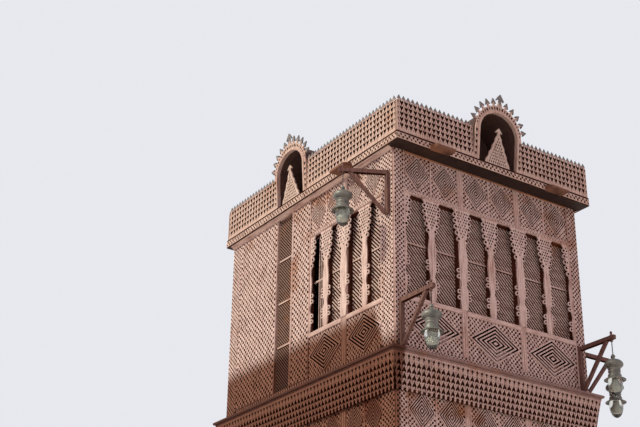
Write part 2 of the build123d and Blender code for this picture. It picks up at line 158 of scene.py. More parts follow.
def raise_surface(tree, shader, strength, distance, height):
    """Let a height value bump a finish."""
    bump = add_node(tree, "ShaderNodeBump", {"Strength": strength, "Distance": distance, "Height": height})
    tree.links.new(bump.outputs["Normal"], shader.inputs["Normal"])


def make_stone(name, pale, dark):
    """Lime-washed stone: worn patches and pits show the stone under the wash."""
    made, tree, shader = start_material(name)
    place = place_on_object(tree)
    worn = fade_between(tree, mottle(tree, place, 2.6, 6.0), 0.48, 0.66)
    pits = mottle(tree, place, 42.0, 3.0)
    colour = blend_colours(tree, worn, opaque(pale), opaque(dark))
    colour = blend_colours(tree, fade_between(tree, pits, 0.62, 0.8), colour, opaque(dark))
    tree.links.new(colour, shader.inputs["Base Color"])
    shader.inputs["Roughness"].default_value = 0.9
    relief = calculate(tree, "ADD", pits, calculate(tree, "MULTIPLY", worn, 0.6))
    raise_surface(tree, shader, 0.5, 0.006, relief)
    return made


def finish_piece(name, shape, slot, *materials):
    """Turn a finished shape into a piece of the tower with the given finishes; the slot is not used."""
    mesh = bpy.data.meshes.new(name)
    shape.to_mesh(mesh)
    shape.free()
    for material in materials:
        mesh.materials.append(material)
    made = bpy.data.objects.new(name, mesh)
    bpy.context.scene.collection.objects.link(made)
    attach(made, "root")
    return made


def paint_faces(verts, material):
    """Give the faces at some vertices one of the piece's materials."""
    for face in {face for vert in verts for face in vert.link_faces}:
        face.material_index = material


def add_block(shape, low, high, place=None, material=0):
    """Add a box between two corners, set where the place matrix puts it."""
    low, high = Vector(low), Vector(high)
    middle = Matrix.Translation((low + high) / 2) @ Matrix.Diagonal((*(high - low), 1))
    made = bmesh.ops.create_cube(shape, size=1, matrix=(place or Matrix()) @ middle)
    paint_faces(made["verts"], material)


def by_side(side, front_value, side_value):
    """One value for the front and the back, and another for the left and the right side."""
    return front_value if side in ("front", "back") else side_value


wall_turns = {"front": 0, "right": 90, "back": 180, "left": 270}
foot_low, foot_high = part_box("plinth")
plinth_stone = make_stone("plinth_stone", limewash, limestone)
plinth_mortar = make_stone("plinth_mortar", mortar, limestone)
plinth = bmesh.new()
add_block(plinth, foot_low + Vector((block_joint, block_joint, 0)),
          foot_high - Vector((block_joint, block_joint, core_drop)), material=1)
course_height = foot_high.z / block_courses
for side, turn in wall_turns.items():
    half_length, half_across = by_side(side, foot_high.xy, foot_high.yx)
    place = Matrix.Rotation(radians(turn), 4, "Z")
    for course in range(block_courses):
        count = round(2 * half_length / block_length)
        step = 2 * half_length / count
        shift = step / 2 * (course % 2)
        for i in range(count + course % 2):
            start = max(-half_length, -half_length + i * step - shift)
            end = min(half_length, -half_length + (i + 1) * step - shift)
            low = (start + block_joint / 2, -half_across, course * course_height + block_joint / 2)
            high = (end - block_joint / 2, block_depth - half_across, (course + 1) * course_height)
            add_block(plinth, low, high, place)
stones = [edge for edge in plinth.edges if not any(face.material_index for face in edge.link_faces)]
bmesh.ops.bevel(plinth, geom=stones, offset=block_edge, segments=1, profile=0.5,
                affect="EDGES", material=-1)
plinth_blocks = finish_piece("plinth_blocks", plinth, "plinth_stone", plinth_stone, plinth_mortar)
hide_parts("plinth")

# Timber
# All the joinery is teak that the sun has bleached to a dry pinkish grey. Under the roof's edge it
# keeps more of its orange brown. Low on the left side a painted shadow darkens it.
bleached = (0.65, 0.45, 0.39)
bleached_dark = (0.29, 0.14, 0.105)
kept_brown = (0.34, 0.13, 0.06)
silvered = (0.21, 0.185, 0.175)
upright_grain = (38.0, 38.0, 2.2)
level_grain = (2.2, 2.2, 38.0)
post_low, post_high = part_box("upper_corner_posts")
storeys = {name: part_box(f"{name}_corner_posts")[0].z for name in ("lower", "upper")}
storey_pitch = storeys["upper"] - storeys["lower"]
# Where the painted shadow on the left side lies, and the colour it multiplies the teak by.
painted_shadow_levels = (storeys["upper"] + 0.05, storeys["upper"] + 0.50)
painted_shadow_run = (post_low.y + 0.30, post_low.y + 0.75)
painted_shadow_rise = 0.75
painted_shadow_faces = (-post_low.x - 0.14, -post_low.x - 0.05)
eave_shares = (0.70, 0.86)
eave_brown = 0.12
painted_shadow_colour = (0.31, 0.18, 0.125, 1.0)

teak, teak_in, teak_out = start_group(
    "sun_bleached_teak",
    [("Bleached", "colour"), ("Dark Grain", "colour"), ("Brown", "colour"), ("Grain", "vector"),
     ("Patches", "value"), ("Sheltered", "value")],
    [("Color", "colour"), ("Roughness", "value"), ("Relief", "value")],
)
teak_place = place_on_object(teak)
teak_along = add_node(
    teak, "ShaderNodeVectorMath", {0: teak_place, 1: teak_in.outputs["Grain"]}, operation="MULTIPLY"
).outputs["Vector"]
streaks = mottle(teak, teak_along, 1.0, 5.0, 0.62)
fibres = mottle(teak, teak_along, 4.5, 3.0, 0.6)
clouds = mottle(teak, teak_place, 1.1, 4.0)
blotches = mottle(teak, teak_place, 8.0, 3.0)
teak_axes = add_node(teak, "ShaderNodeSeparateXYZ", {0: teak_place}).outputs
storeys_up = calculate(
    teak, "DIVIDE", calculate(teak, "SUBTRACT", teak_axes["Z"], storeys["lower"]), storey_pitch)
under_eave = calculate(
    teak, "MULTIPLY", fade_between(teak, calculate(teak, "FRACT", storeys_up), *eave_shares),
    teak_in.outputs["Sheltered"])
brown_mask = fade_between(
    teak, calculate(teak, "ADD", clouds, calculate(teak, "MULTIPLY", under_eave, eave_brown)), 0.56, 0.80)
brown_mask = calculate(teak, "MULTIPLY", brown_mask, teak_in.outputs["Patches"])
teak_colour = blend_colours(
    teak, fade_between(teak, streaks, 0.42, 0.75), teak_in.outputs["Bleached"],
    teak_in.outputs["Dark Grain"])
teak_colour = blend_colours(teak, brown_mask, teak_colour, teak_in.outputs["Brown"])
teak_tone = blend_colours(teak, blotches, (0.74, 0.74, 0.74, 1), (1.16, 1.14, 1.12, 1))
teak_colour = blend_colours(teak, 1.0, teak_colour, teak_tone, "MULTIPLY")
# Painted shadow: dark low on the left side, its top edge rising away from the front corner.
teak_left = calculate(teak, "MULTIPLY", teak_axes["X"], -1.0)
painted_shadow_slope = calculate(teak, "MULTIPLY", painted_shadow_rise, fade_between(teak, teak_axes["Y"], *painted_shadow_run))
painted_shadow_mask = calculate(
    teak, "MULTIPLY", fade_between(teak, teak_left, *painted_shadow_faces),
    calculate(teak, "SUBTRACT", 1.0, fade_between(
        teak, calculate(teak, "SUBTRACT", teak_axes["Z"], painted_shadow_slope), *painted_shadow_levels)))
teak_colour = blend_colours(teak, painted_shadow_mask, teak_colour, painted_shadow_colour, "MULTIPLY")
teak.links.new(teak_colour, teak_out.inputs["Color"])
teak.links.new(
    calculate(teak, "ADD", calculate(teak, "MULTIPLY", fibres, 0.25), 0.62),
    teak_out.inputs["Roughness"])
teak.links.new(
    calculate(teak, "ADD", calculate(teak, "MULTIPLY", streaks, 0.7), fibres),
    teak_out.inputs["Relief"])


def make_timber(name, grain, patches=1.0, sheltered=1.0, bleach=bleached, dark=bleached_dark,
                brown=kept_brown, gloss=0.2):
    """One finish of teak: how bleached it is, how it is cut and how much brown it keeps."""
    made, tree, shader = start_material(name)
    wood = tree.nodes.new("ShaderNodeGroup")
    wood.node_tree = teak
    look = {"Bleached": opaque(bleach), "Dark Grain": opaque(dark), "Brown": opaque(brown),
            "Grain": grain, "Patches": patches, "Sheltered": sheltered}
    for label, value in look.items():
        wood.inputs[label].default_value = value
    tree.links.new(wood.outputs["Color"], shader.inputs["Base Color"])
    tree.links.new(wood.outputs["Roughness"], shader.inputs["Roughness"])
    shader.inputs["Specular IOR Level"].default_value = gloss
    raise_surface(tree, shader, 0.7, 0.0025, wood.outputs["Relief"])
    return made


def dress(material, *names):
    """Give solids of the model their finish."""
    for name in names:
        for slot in nodes[name].material_slots:
            slot.material = material


# A near-black teak of painted shade, for pockets, grooves, hole walls and dark sheets set where shade
# falls.
painted_shade_timber = make_timber("painted_shade_timber", upright_grain, 0.5, 0.5, (0.036, 0.011, 0.006),
                            (0.016, 0.005, 0.003), (0.08, 0.022, 0.008), 0.0)

# Ledges
# Each storey stands on a sill plate with two rounded mouldings that run round the tower,
# the upper one standing further out.
ledge_bead = 0.026
top_bead_inset = 0.002
top_bead_sink = 0.0208
middle_bead_inset = 0.047
middle_bead_sink = 0.0156
ledge_timber = make_timber("ledge_timber", level_grain, 0.9, 0.4, (0.30, 0.175, 0.15),
                           (0.16, 0.085, 0.07))
dress(ledge_timber, "base_ledge", "upper_ledge")


def add_rod(shape, start, end, radius, material=0, sides=8):
    """Add a round rod between two points."""
    start, end = Vector(start), Vector(end)
    run = end - start
    place = Matrix.Translation((start + end) / 2) @ run.to_track_quat("Z", "Y").to_matrix().to_4x4()
    made = bmesh.ops.create_cone(shape, cap_ends=True, segments=sides, radius1=radius,
                                 radius2=radius, depth=run.length, matrix=place)
    paint_faces(made["verts"], material)


ledge_beads = bmesh.new()
for node in ("base_ledge", "upper_ledge"):
    low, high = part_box(node)
    middle = (low.z + high.z) / 2
    for level, inset in ((high.z - top_bead_sink, top_bead_inset),
                         (middle - middle_bead_sink, middle_bead_inset)):
        corners = [(low.x + inset, low.y + inset), (high.x - inset, low.y + inset),
                   (high.x - inset, high.y - inset), (low.x + inset, high.y - inset)]
        for start, end in zip(corners, corners[1:] + corners[:1]):
            add_rod(ledge_beads, (*start, level), (*end, level), ledge_bead / 2)
finish_piece("ledge_beads", ledge_beads, "ledge_timber", ledge_timber)

# Posts
# Wide corner posts, slim posts between the bays and broad boards beside the side recess stand on the
# ledges. The wide ones are faced with boards of teak, carved all over with small staggered leaves.
width = post_high.x - post_low.x
depth = post_high.y - post_low.y
storey_height = post_high.z - post_low.z
corner_front = 0.26
corner_side = 0.385
front_post = 0.15
side_post = 0.175
side_bay = 1.19
mullion = 0.09
jamb_board = 0.64
recess_bay = 0.68
rear_board = 0.775
frieze_height = 0.175
front_bay = (width - 2 * corner_front - 2 * front_post) / 3
recess_start = corner_side + 2 * side_bay + side_post + jamb_board
rear_board_start = recess_start + recess_bay
rear_board_end = rear_board_start + rear_board
rear_corner_start = depth - corner_side
leaf_pitch = 0.050
board_leaf_pitch = 0.064
leaf_gap_share = 0.05
leaf_stretch = 1.08
slimmest_leaf = 0.58
slimness_range = 0.34
slimness_jump = 7
leaf_mix = 17
leaf_depth = 0.014
facing_thickness = 0.018
facing_edge = 0.012

post_timber = make_timber("post_timber", upright_grain, 0.75)
for storey in storeys:
    dress(post_timber, f"{storey}_corner_posts", f"{storey}_bay_posts")


def length_of(side):
    """Length of one side of the tower."""
    return by_side(side, width, depth)


def on_side(side, out=0.0):
    """Places a flat pattern on one side: its X runs along the side, its Y up and its Z out."""
    reach = by_side(side, depth, width) / 2 + out
    upright = Matrix.Translation((0, -reach, 0)) @ Matrix.Rotation(pi / 2, 4, "X")
    return Matrix.Rotation(radians(wall_turns[side]), 4, "Z") @ upright


def along(side, distance):
    """A side's own X at a distance from the front corner, or from the end of front and back."""
    return depth / 2 - distance if side == "left" else distance - length_of(side) / 2


def spot_on(side, distance, level, out=0.0):
    """Places a pattern on one side, at a distance along it and a level above the ground."""
    return on_side(side, out) @ Matrix.Translation((along(side, distance), level, 0))


def span(side, start, end):
    """The lowest and the highest X of a stretch between two distances along a side."""
    return sorted((along(side, start), along(side, end)))


def bays(side):
    """Start and end of each window bay of a side."""
    first, bay, post, count = by_side(
        side, (corner_front, front_bay, front_post, 3), (corner_side, side_bay, side_post, 2))
    return [(first + i * (bay + post), first + i * (bay + post) + bay) for i in range(count)]


def windows(side):
    """Start and end of each window of a side, two to a bay."""
    half = mullion / 2
    found = []
    for start, end in bays(side):
        middle = (start + end) / 2
        found += [(start, middle - half), (middle + half, end)]
    return found


def keep_pattern(shape):
    """Keep a finished flat pattern as a mesh, to be set in many places."""
    pattern = bpy.data.meshes.new("pattern")
    shape.to_mesh(pattern)
    shape.free()
    return pattern


def set_pattern(shape, pattern, place):
    """Add a copy of a kept pattern at one place."""
    copy = pattern.copy()
    copy.transform(place)
    shape.from_mesh(copy)
    bpy.data.meshes.remove(copy)


def new_verts(made):
    """The vertices among what an operator has made."""
    return [part for part in made["geom"] if isinstance(part, bmesh.types.BMVert)]


def fixed_chance(column, row, mix=0):
    """A value from 0 to 1 that jumps from cell to cell of a pattern, always in the same way."""
    column_stride, row_stride, steps = 37, 61, 97
    return (column * column_stride + row * row_stride + column * row * mix) % steps / steps


def carved_board(board_width, board_height, pitch=leaf_pitch, keep_plain=None):
    """A board lying face up about the origin, carved with staggered leaf-shaped pockets of painted shade.
    """
    columns = max(2, round(board_width / pitch))
    rows = max(2, round(board_height / pitch))
    cell_width = board_width / columns
    cell_height = board_height / rows
    board = bmesh.new()
    bmesh.ops.create_grid(board, x_segments=columns, y_segments=rows, size=0.5)
    bmesh.ops.scale(board, vec=(board_width, board_height, 1), verts=board.verts)
    leaves = []
    for face in board.faces:
        centre = face.calc_center_median()
        column = int((centre.x + board_width / 2) / cell_width)
        row = int((centre.y + board_height / 2) / cell_height)
        if (column + row) % 2 == 0 and not (keep_plain and keep_plain(centre)):
            leaves.append((face, fixed_chance(column, row, leaf_mix)))
    faces = [face for face, chance in leaves]
    gap = leaf_gap_share * min(cell_width, cell_height)
    bmesh.ops.inset_individual(board, faces=faces, thickness=gap)
    for face, chance in leaves:
        centre = face.calc_center_median()
        lean = 1 if chance > 0.5 else -1
        slimness = slimmest_leaf + slimness_range * (chance * slimness_jump % 1)
        for vert in face.verts:
            offset = vert.co - centre
            vert.co = centre + offset * (leaf_stretch if offset.x * offset.y * lean > 0 else slimness)
    sunk = bmesh.ops.inset_individual(board, faces=faces, thickness=gap, depth=-leaf_depth)
    # Pocket floors and walls take slot 1, painted shade.
    for face in faces + sunk["faces"]:
        face.material_index = 1
    rim = [edge for edge in board.edges if edge.is_boundary]
    edging = bmesh.ops.extrude_edge_only(board, edges=rim)
    bmesh.ops.translate(board, vec=(0, 0, -facing_thickness), verts=new_verts(edging))
    bmesh.ops.edgeloop_fill(board, edges=[e for e in board.edges if e.is_boundary])
    bmesh.ops.translate(board, vec=(0, 0, facing_thickness), verts=board.verts)
    bmesh.ops.recalc_face_normals(board, faces=board.faces)
    return board


strips = {size: keep_pattern(carved_board(size - 2 * facing_edge, storey_height - 2 * facing_edge))
          for size in (corner_front, corner_side)}
boards = [(start, end, keep_pattern(carved_board(
              end - start - 2 * facing_edge, storey_height - frieze_height - 2 * facing_edge,
              board_leaf_pitch)))
          for start, end in ((recess_start - jamb_board, recess_start), (rear_board_start, rear_board_end),
                             (rear_board_end, rear_corner_start))]
for storey, foot in storeys.items():
    facings = bmesh.new()
    board_middle = foot + frieze_height + (storey_height - frieze_height) / 2
    for side in wall_turns:
        corner = by_side(side, corner_front, corner_side)
        for distance in (corner / 2, length_of(side) - corner / 2):
            set_pattern(facings, strips[corner], spot_on(side, distance, foot + storey_height / 2))
        for start, end, pattern in by_side(side, [], boards):
            set_pattern(facings, pattern, spot_on(side, (start + end) / 2, board_middle))
    finish_piece(f"{storey}_post_facings", facings, "post_timber", post_timber, painted_shade_timber)

# Post beads
# Slim rounded beads of the same teak are nailed over the edges of the carved facings, and they line
# the slim posts between the bays.
bead_radius = 0.011
bead_reach = 0.004
top_gap = 0.002
beads = bmesh.new()
for storey, foot in storeys.items():
    for side in wall_turns:
        places = by_side(side, [corner_front, width - corner_front],
                         [corner_side, recess_start - jamb_board, rear_board_start, rear_board_end,
                          rear_corner_start])
        for (first, end), (start, last) in zip(bays(side), bays(side)[1:]):
            places += [end + bead_radius * 2, start - bead_radius * 2, (end + start) / 2]
        for distance in places:
            ends = [spot_on(side, distance, foot + level, bead_reach).translation
                    for level in (frieze_height, storey_height - top_gap)]
            add_rod(beads, *ends, bead_radius)
finish_piece("post_beads", beads, "post_timber", post_timber)

# Rope beads
# A thick bead of teak, carved like a twisted rope of three strands, is nailed over the joint between
# each broad board and the recess.
rope_radius = 0.036
rope_shift = 0.0216
rope_reach = 0.008
rope_groove = 0.013
rope_twist = 0.21
rope_strands = 3
rope_step = 0.0175
rope_sides = 12
rope_length = storey_height - frieze_height - top_gap
rope_rings = round((storey_height - frieze_height) / rope_step)
rope = bmesh.new()
add_rod(rope, (0, 0, 0), (0, rope_length, 0), rope_radius, sides=rope_sides)
long_edges = [edge for edge in rope.edges if edge.calc_length() > rope_length / 2]
bmesh.ops.subdivide_edges(rope, edges=long_edges, cuts=rope_rings - 1)
for vert in rope.verts:
    strand = rope_strands * (atan2(vert.co.z, vert.co.x) + 2 * pi * vert.co.y / rope_twist)
    outward = Vector((vert.co.x, 0, vert.co.z)).normalized()
    vert.co -= outward * rope_groove * (0.5 - 0.5 * cos(strand)) ** 2
for face in rope.faces:
    face.smooth = len(face.verts) == 4
rope_bead = keep_pattern(rope)
ropes = bmesh.new()
for foot in storeys.values():
    for side in ("left", "right"):
        place = spot_on(side, recess_start + rope_shift, foot + frieze_height, rope_reach)
        set_pattern(ropes, rope_bead, place)
finish_piece("rope_beads", ropes, "post_timber", post_timber)

# Rails
# The sill, the head rail and the top rail close each bay. The frieze along a storey's foot and the head
# rail over its windows carry small leaves like the posts', and an orange-brown moulding is nailed along
# the top rail, where no sun reaches it.
base_panel_top = 1.05
sill_height = 0.09
window_top = 3.32
head_rail = 0.10
top_rail = 0.04
rail_reach = 0.012
rail_edge = 0.010
frieze_leaf_pitch = 0.044
rail_leaf_pitch = 0.040
eave_bead = 0.017
rail_timber = make_timber("rail_timber", level_grain, 0.8)
brown_timber = make_timber("brown_timber", level_grain, 1.0, 1.0, (0.30, 0.12, 0.055), (0.13, 0.05, 0.025))
dress(rail_timber, "lower_rails", "upper_rails")

rails = bmesh.new()
for foot in storeys.values():
    for side in wall_turns:
        first, last = bays(side)[0][0], bays(side)[-1][1]
        end = by_side(side, last, rear_corner_start)
        strip = carved_board(end - first - 2 * facing_edge, frieze_height - 2 * facing_edge,
                             frieze_leaf_pitch)
        set_pattern(rails, keep_pattern(strip), spot_on(side, (first + end) / 2, foot + frieze_height / 2))
        for start, end in bays(side):
            strip = carved_board(end - start - 2 * facing_edge, head_rail - 2 * rail_edge, rail_leaf_pitch)
            place = spot_on(side, (start + end) / 2, foot + window_top + head_rail / 2,
                            rail_reach - facing_thickness / 2)
            set_pattern(rails, keep_pattern(strip), place)
        ends = [spot_on(side, distance, foot + storey_height - top_rail / 2, bead_reach).translation
                for distance in (first, last)]
        add_rod(rails, *ends, eave_bead, 2)
finish_piece("carved_rails", rails, "rail_timber", rail_timber, painted_shade_timber, brown_timber)

# Carved panels
# Over each window stands a panel of teak, and a wide one under each pair. Each has one great rhombus of
# raised bands, cut deep between them, on a ground of small carved leaves, and is let into the frame.
panel_setback = 0.030
panel_back = 0.070
panel_batten = 0.034
rhombus_margin = 0.034
rhombus_height = 0.026
rhombus_bands = 5
rhombus_sunk = 0.004
groove_depth = 0.022
groove_share = 0.50
groove_slope_share = 0.05
ground_share = 0.9
panel_gap = 0.004
panel_timber = make_timber("panel_timber", upright_grain, 1.0)


def stepped_rhombus(half_width, half_height):
    """A raised rhombus lying face up, with deep grooves of painted shade between its bands."""
    block = bmesh.new()
    bmesh.ops.create_circle(block, cap_ends=True, segments=4, radius=1)
    bmesh.ops.scale(block, vec=(half_width, half_height, 1), verts=block.verts)
    face = next(iter(block.faces))
    if face.normal.z < 0:
        face.normal_flip()
    lifted = bmesh.ops.extrude_face_region(block, geom=[face])
    bmesh.ops.translate(block, vec=(0, 0, rhombus_height), verts=new_verts(lifted))
    top = next(part for part in lifted["geom"] if isinstance(part, bmesh.types.BMFace))
    across = half_width * half_height / (half_width**2 + half_height**2) ** 0.5
    band = across / (rhombus_bands + 0.5)
    slope = groove_slope_share * band
    crest = (band * (1 - groove_share) - slope, 0, 0)
    wall = (slope, -groove_depth, 1)
    floor = (band * groove_share - slope, 0, 1)
    rise = (slope, groove_depth, 1)
    # Groove walls, floors and rising walls take slot 1, painted shade.
    for thickness, rise_by, material in (crest, wall, floor, rise) * rhombus_bands:
        ring = bmesh.ops.inset_region(block, faces=[top], thickness=thickness, depth=rise_by,
                                      use_even_offset=True)
        for face in ring["faces"]:
            face.material_index = material
    bmesh.ops.recalc_face_normals(block, faces=block.faces)
    return block


def carved_panel(panel_width, panel_height):
    """A whole panel about the origin: a rhombus on a ground of leaves."""
    half_width = panel_width / 2 - rhombus_margin / 2
    half_height = panel_height / 2 - rhombus_margin / 2

    def covered(centre):
        return abs(centre.x) / half_width + abs(centre.y) / half_height < ground_share

    panel = carved_board(panel_width, panel_height, leaf_pitch, covered)
    rhombus = keep_pattern(stepped_rhombus(half_width, half_height))
    set_pattern(panel, rhombus, Matrix.Translation((0, 0, facing_thickness - rhombus_sunk)))
    return keep_pattern(panel)


panel_rows = {
    "head_panels": (window_top + head_rail, storey_height - top_rail, 2),
    "base_panels": (frieze_height, base_panel_top, 1),
}
for storey, foot in storeys.items():
    for name, (bottom, top, per_bay) in panel_rows.items():
        panels = bmesh.new()
        for side in wall_turns:
            first, last = bays(side)[0]
            size = (last - first - panel_batten * (per_bay - 1)) / per_bay
            pattern = carved_panel(size - panel_gap, top - bottom - panel_gap)
            ground = on_side(side, -panel_setback)
            for start, end in bays(side):
                for i in range(per_bay):
                    middle = start + size / 2 + i * (end - start - size)
                    set_pattern(panels, pattern, spot_on(side, middle, foot + (bottom + top) / 2,
                                                         -panel_setback))
                left, right = span(side, start, end)
                add_block(panels, (left, foot + bottom, panel_setback - panel_back),
                          (right, foot + top, 0), ground)
                if per_bay == 2:
                    x = (left + right) / 2
                    add_block(panels, (x - panel_batten / 2, foot + bottom, 0),
                              (x + panel_batten / 2, foot + top, panel_setback), ground)
        made = finish_piece(f"{storey}_carved_{name}", panels, "panel_timber", panel_timber,
                            painted_shade_timber)
        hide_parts(f"{storey}_{name}")

# Window lattices
# Thin laths lean to the left before finer ones that lean to the right, darkened with painted shade, in
# a plain frame with a rail across its middle and a painted shadow under the rail. Linings of painted
# shade dress each opening, a dark sheet of painted shade stands behind every lattice, and the side
# recess's lattice is darkened with painted shade. The fourth window of the left side stands open.
sill_top = base_panel_top + sill_height
window_height = window_top - sill_top
lath_width = 0.0272
rail_shadow = 0.022
lath_thickness = 0.008
lath_step = 0.086
recess_lath_step = 0.076
rear_lath_width = 0.010
lattice_setback = 0.120
recess_setback = 0.045
lattice_thickness = 0.030
frame_depth = 0.028
lattice_border = 0.040
lattice_reach = 0.006
shadow_lap = 0.001
lining = 0.007
lining_setback = 0.036
shade_sheet_setback = 0.164
recess_shade_sheet_setback = 0.088
shade_sheet_thickness = 0.014
middle_rail_level = 0.535
middle_rail = 0.036
recess_rail_levels = (0.25, 0.5, 0.75)
# The recess lattice's darker teak is painted shade.
recess_shade_timber = make_timber("recess_shade_timber", level_grain, 0.9, 0.5, (0.215, 0.122, 0.090),
                            (0.14, 0.07, 0.05))
lattice_timber = make_timber("lattice_timber", level_grain, 0.6, 0.5, (0.56, 0.39, 0.33))
# The linings' near black is painted shade.
painted_shade_lining = make_timber("painted_shade_lining", upright_grain, 1.0, 0.5, (0.085, 0.024, 0.012),
                            (0.038, 0.012, 0.007), (0.15, 0.042, 0.014), 0.05)


def lath_lattice(opening_width, opening_height, step, rail_levels, front_material, frame_material):
    """A framed lattice about the origin: two crossed layers of laths and level rails."""
    screen = bmesh.new()
    half_width, half_height = opening_width / 2, opening_height / 2
    for layer, lean in ((0, -1), (1, 1)):
        depth_here = -(layer * 2 + 0.5) * lath_thickness
        count = int((opening_width + opening_height) / step)
        for i in range(count + 1):
            crossing = -(opening_width + opening_height) / 2 + i * step
            low = max(-half_height, -half_width - crossing)
            high = min(half_height, half_width - crossing)
            if high - low < lath_width:
                continue
            middle = (low + high) / 2
            length = (high - low) * 2**0.5
            place = Matrix.Translation((lean * (crossing + middle), middle, depth_here))
            place = place @ Matrix.Rotation(lean * pi / 4, 4, "Z")
            breadth = rear_lath_width if layer else lath_width
            place = place @ Matrix.Diagonal((length, breadth, lath_thickness, 1))
            lath = bmesh.ops.create_cube(screen, size=1, matrix=place)
            # Rear laths take slot 1, painted shade.
            paint_faces(lath["verts"], 1 if layer else front_material)
    bars = [(-half_width, -half_height, half_width, middle_rail / 2 - half_height, 0),
            (-half_width, half_height - lattice_border, half_width, half_height, frame_material),
            (-half_width, -half_height, lattice_border - half_width, half_height, frame_material),
            (half_width - lattice_border, -half_height, half_width, half_height, frame_material)]
    for share in rail_levels:
        middle = -half_height + share * opening_height
        foot = middle - middle_rail / 2
        bars.append((-half_width, foot, half_width, middle + middle_rail / 2, 0))
        # A dark strip under each rail is a painted shadow.
        add_block(screen, (-half_width, foot - rail_shadow, -frame_depth),
                  (half_width, foot + shadow_lap, shadow_lap), material=1)
    for left, bottom, right, top, material in bars:
        add_block(screen, (left, bottom, -frame_depth), (right, top, lattice_reach), material=material)
    return keep_pattern(screen)


for storey, foot in storeys.items():
    for side in wall_turns:
        screens = bmesh.new()
        openings = windows(side)
        if side == "left":
            openings = openings[:-1]
        pattern = lath_lattice(openings[0][1] - openings[0][0], window_height, lath_step,
                               (middle_rail_level,), 0, 3)
        for start, end in openings:
            place = spot_on(side, (start + end) / 2, foot + sill_top + window_height / 2, -lattice_setback)
            set_pattern(screens, pattern, place)
            left, right = span(side, start, end)
            # A dark sheet of painted shade behind each lattice.
            add_block(screens, (left, foot + sill_top, -shade_sheet_setback - shade_sheet_thickness),
                      (right, foot + window_top, -shade_sheet_setback), on_side(side), 1)
        # Linings of painted shade in each window's reveals and under its head rail.
        for start, end in windows(side):
            left, right = span(side, start, end)
            deep = -lattice_setback + lattice_reach
            for low, high, bottom in ((left, left + lining, sill_top), (right - lining, right, sill_top),
                                      (left + lining, right - lining, window_top - lining)):
                add_block(screens, (low, foot + bottom, deep), (high, foot + window_top, -lining_setback),
                          on_side(side), 3)
        if side in ("left", "right"):
            recess_height = storey_height - top_rail - frieze_height
            pattern = lath_lattice(recess_bay, recess_height, recess_lath_step, recess_rail_levels, 2, 2)
            spot = (recess_start + recess_bay / 2, foot + frieze_height + recess_height / 2)
            set_pattern(screens, pattern, spot_on(side, *spot, -recess_setback))
            # A dark sheet of painted shade behind the recess lattice.
            add_block(screens, (-recess_bay / 2, -recess_height / 2, -shade_sheet_thickness),
                      (recess_bay / 2, recess_height / 2, 0),
                      spot_on(side, *spot, -recess_shade_sheet_setback), 1)
        made = finish_piece(f"{storey}_laths_{side}", screens, "lattice_timber", lattice_timber,
                            painted_shade_timber, recess_shade_timber, painted_shade_lining)
        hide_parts(f"{storey}_lattice_{side}")

# Bars of the open windows
# One lattice of the left side is off on each storey. Three thin upright bars of the same timber and
# the middle rail stay in its opening, let into the sill and the head rail.
bar_radius = 0.013
bar_shares = (0.42, 0.54, 0.66)
bar_setback = 0.01
bars = bmesh.new()
open_start, open_end = windows("left")[-1]
for foot in storeys.values():
    level = foot + sill_top + middle_rail_level * window_height
    for share in bar_shares:
        distance = open_start + share * (open_end - open_start)
        ends = [spot_on("left", distance, foot + height, -lattice_setback - bar_setback).translation
                for height in (sill_top, window_top)]
        add_rod(bars, *ends, bar_radius)
    left, right = span("left", open_start, open_end)
    add_block(bars, (left, level - middle_rail / 2, -lattice_thickness),
              (right, level + middle_rail / 2, 0.0), on_side("left", -lattice_setback))
finish_piece("open_window_bars", bars, "lattice_timber", lattice_timber)

# Fretwork
# Scalloped boards are nailed over every post and mullion between the windows, with half boards at the
# ends. Each has a wide head of pierced lobes, a plain neck, and pairs of open rings on its lower half.
# The holes' walls and a dark backing with discs behind them are painted shade.
fret_thickness = 0.024
fret_setback = 0.028
backing_thickness = 0.005
backing_gap = 0.001
backing_shares = (0.645, 0.99)
backing_reaches = (0.05, 0.17)
backing_inset = 0.002
backing_half_lobe = 0.022
backing_waist = 0.047
disc_edge = 0.012
post_cover = 0.012
end_board_shift = 0.030
ring_levels = (0.115, 0.173, 0.320, 0.378)
ring_centre = 0.117
ring_radius = 0.047
ring_hole = 0.025
ring_arc = 130
lobe_arc = 100
neck_line = ((0.0, 0.062), (0.06, 0.080), (0.235, 0.050), (0.270, 0.058), (0.43, 0.090), (0.50, 0.099),
             (0.56, 0.086), (0.628, 0.062), (0.975, 0.190), (1.0, 0.228))
lobe_line = ((0.695, 0.120), (0.755, 0.158), (0.815, 0.186), (0.875, 0.200), (0.935, 0.206))
lobe_radius = 0.050
lobe_inset = 0.030
lobe_hole = 0.031
leaf_rise = 0.03
leaf_places = ((0.030, 0.092), (0.062, 0.118))
leaf_limits = (0.092, 0.076)
leaf_lean = 0.5
fret_leaf = (0.052, 0.036)
fretwork_timber = make_timber("fretwork_timber", upright_grain, 0.4, 0.6, (0.66, 0.47, 0.41))


def arc_points(x, y, radius, reach, steps):
    """Points round the outer part of a ring, from some degrees below its middle to as many above."""
    turns = [radians(reach * (2 * i / steps - 1)) for i in range(steps + 1)]
    return [(x + radius * cos(turn), y + radius * sin(turn)) for turn in turns]


def fret_edge(height):
    """Points of a board's right edge, from its foot to its head."""
    parts = [(share, [(x, share * height)]) for share, x in neck_line]
    parts += [(share, arc_points(ring_centre, share * height, ring_radius, ring_arc, 8))
              for share in ring_levels]
    parts += [(share, arc_points(x - lobe_inset, share * height, lobe_radius, lobe_arc, 6))
              for share, x in lobe_line]
    return [point for share, points in sorted(parts) for point in points]


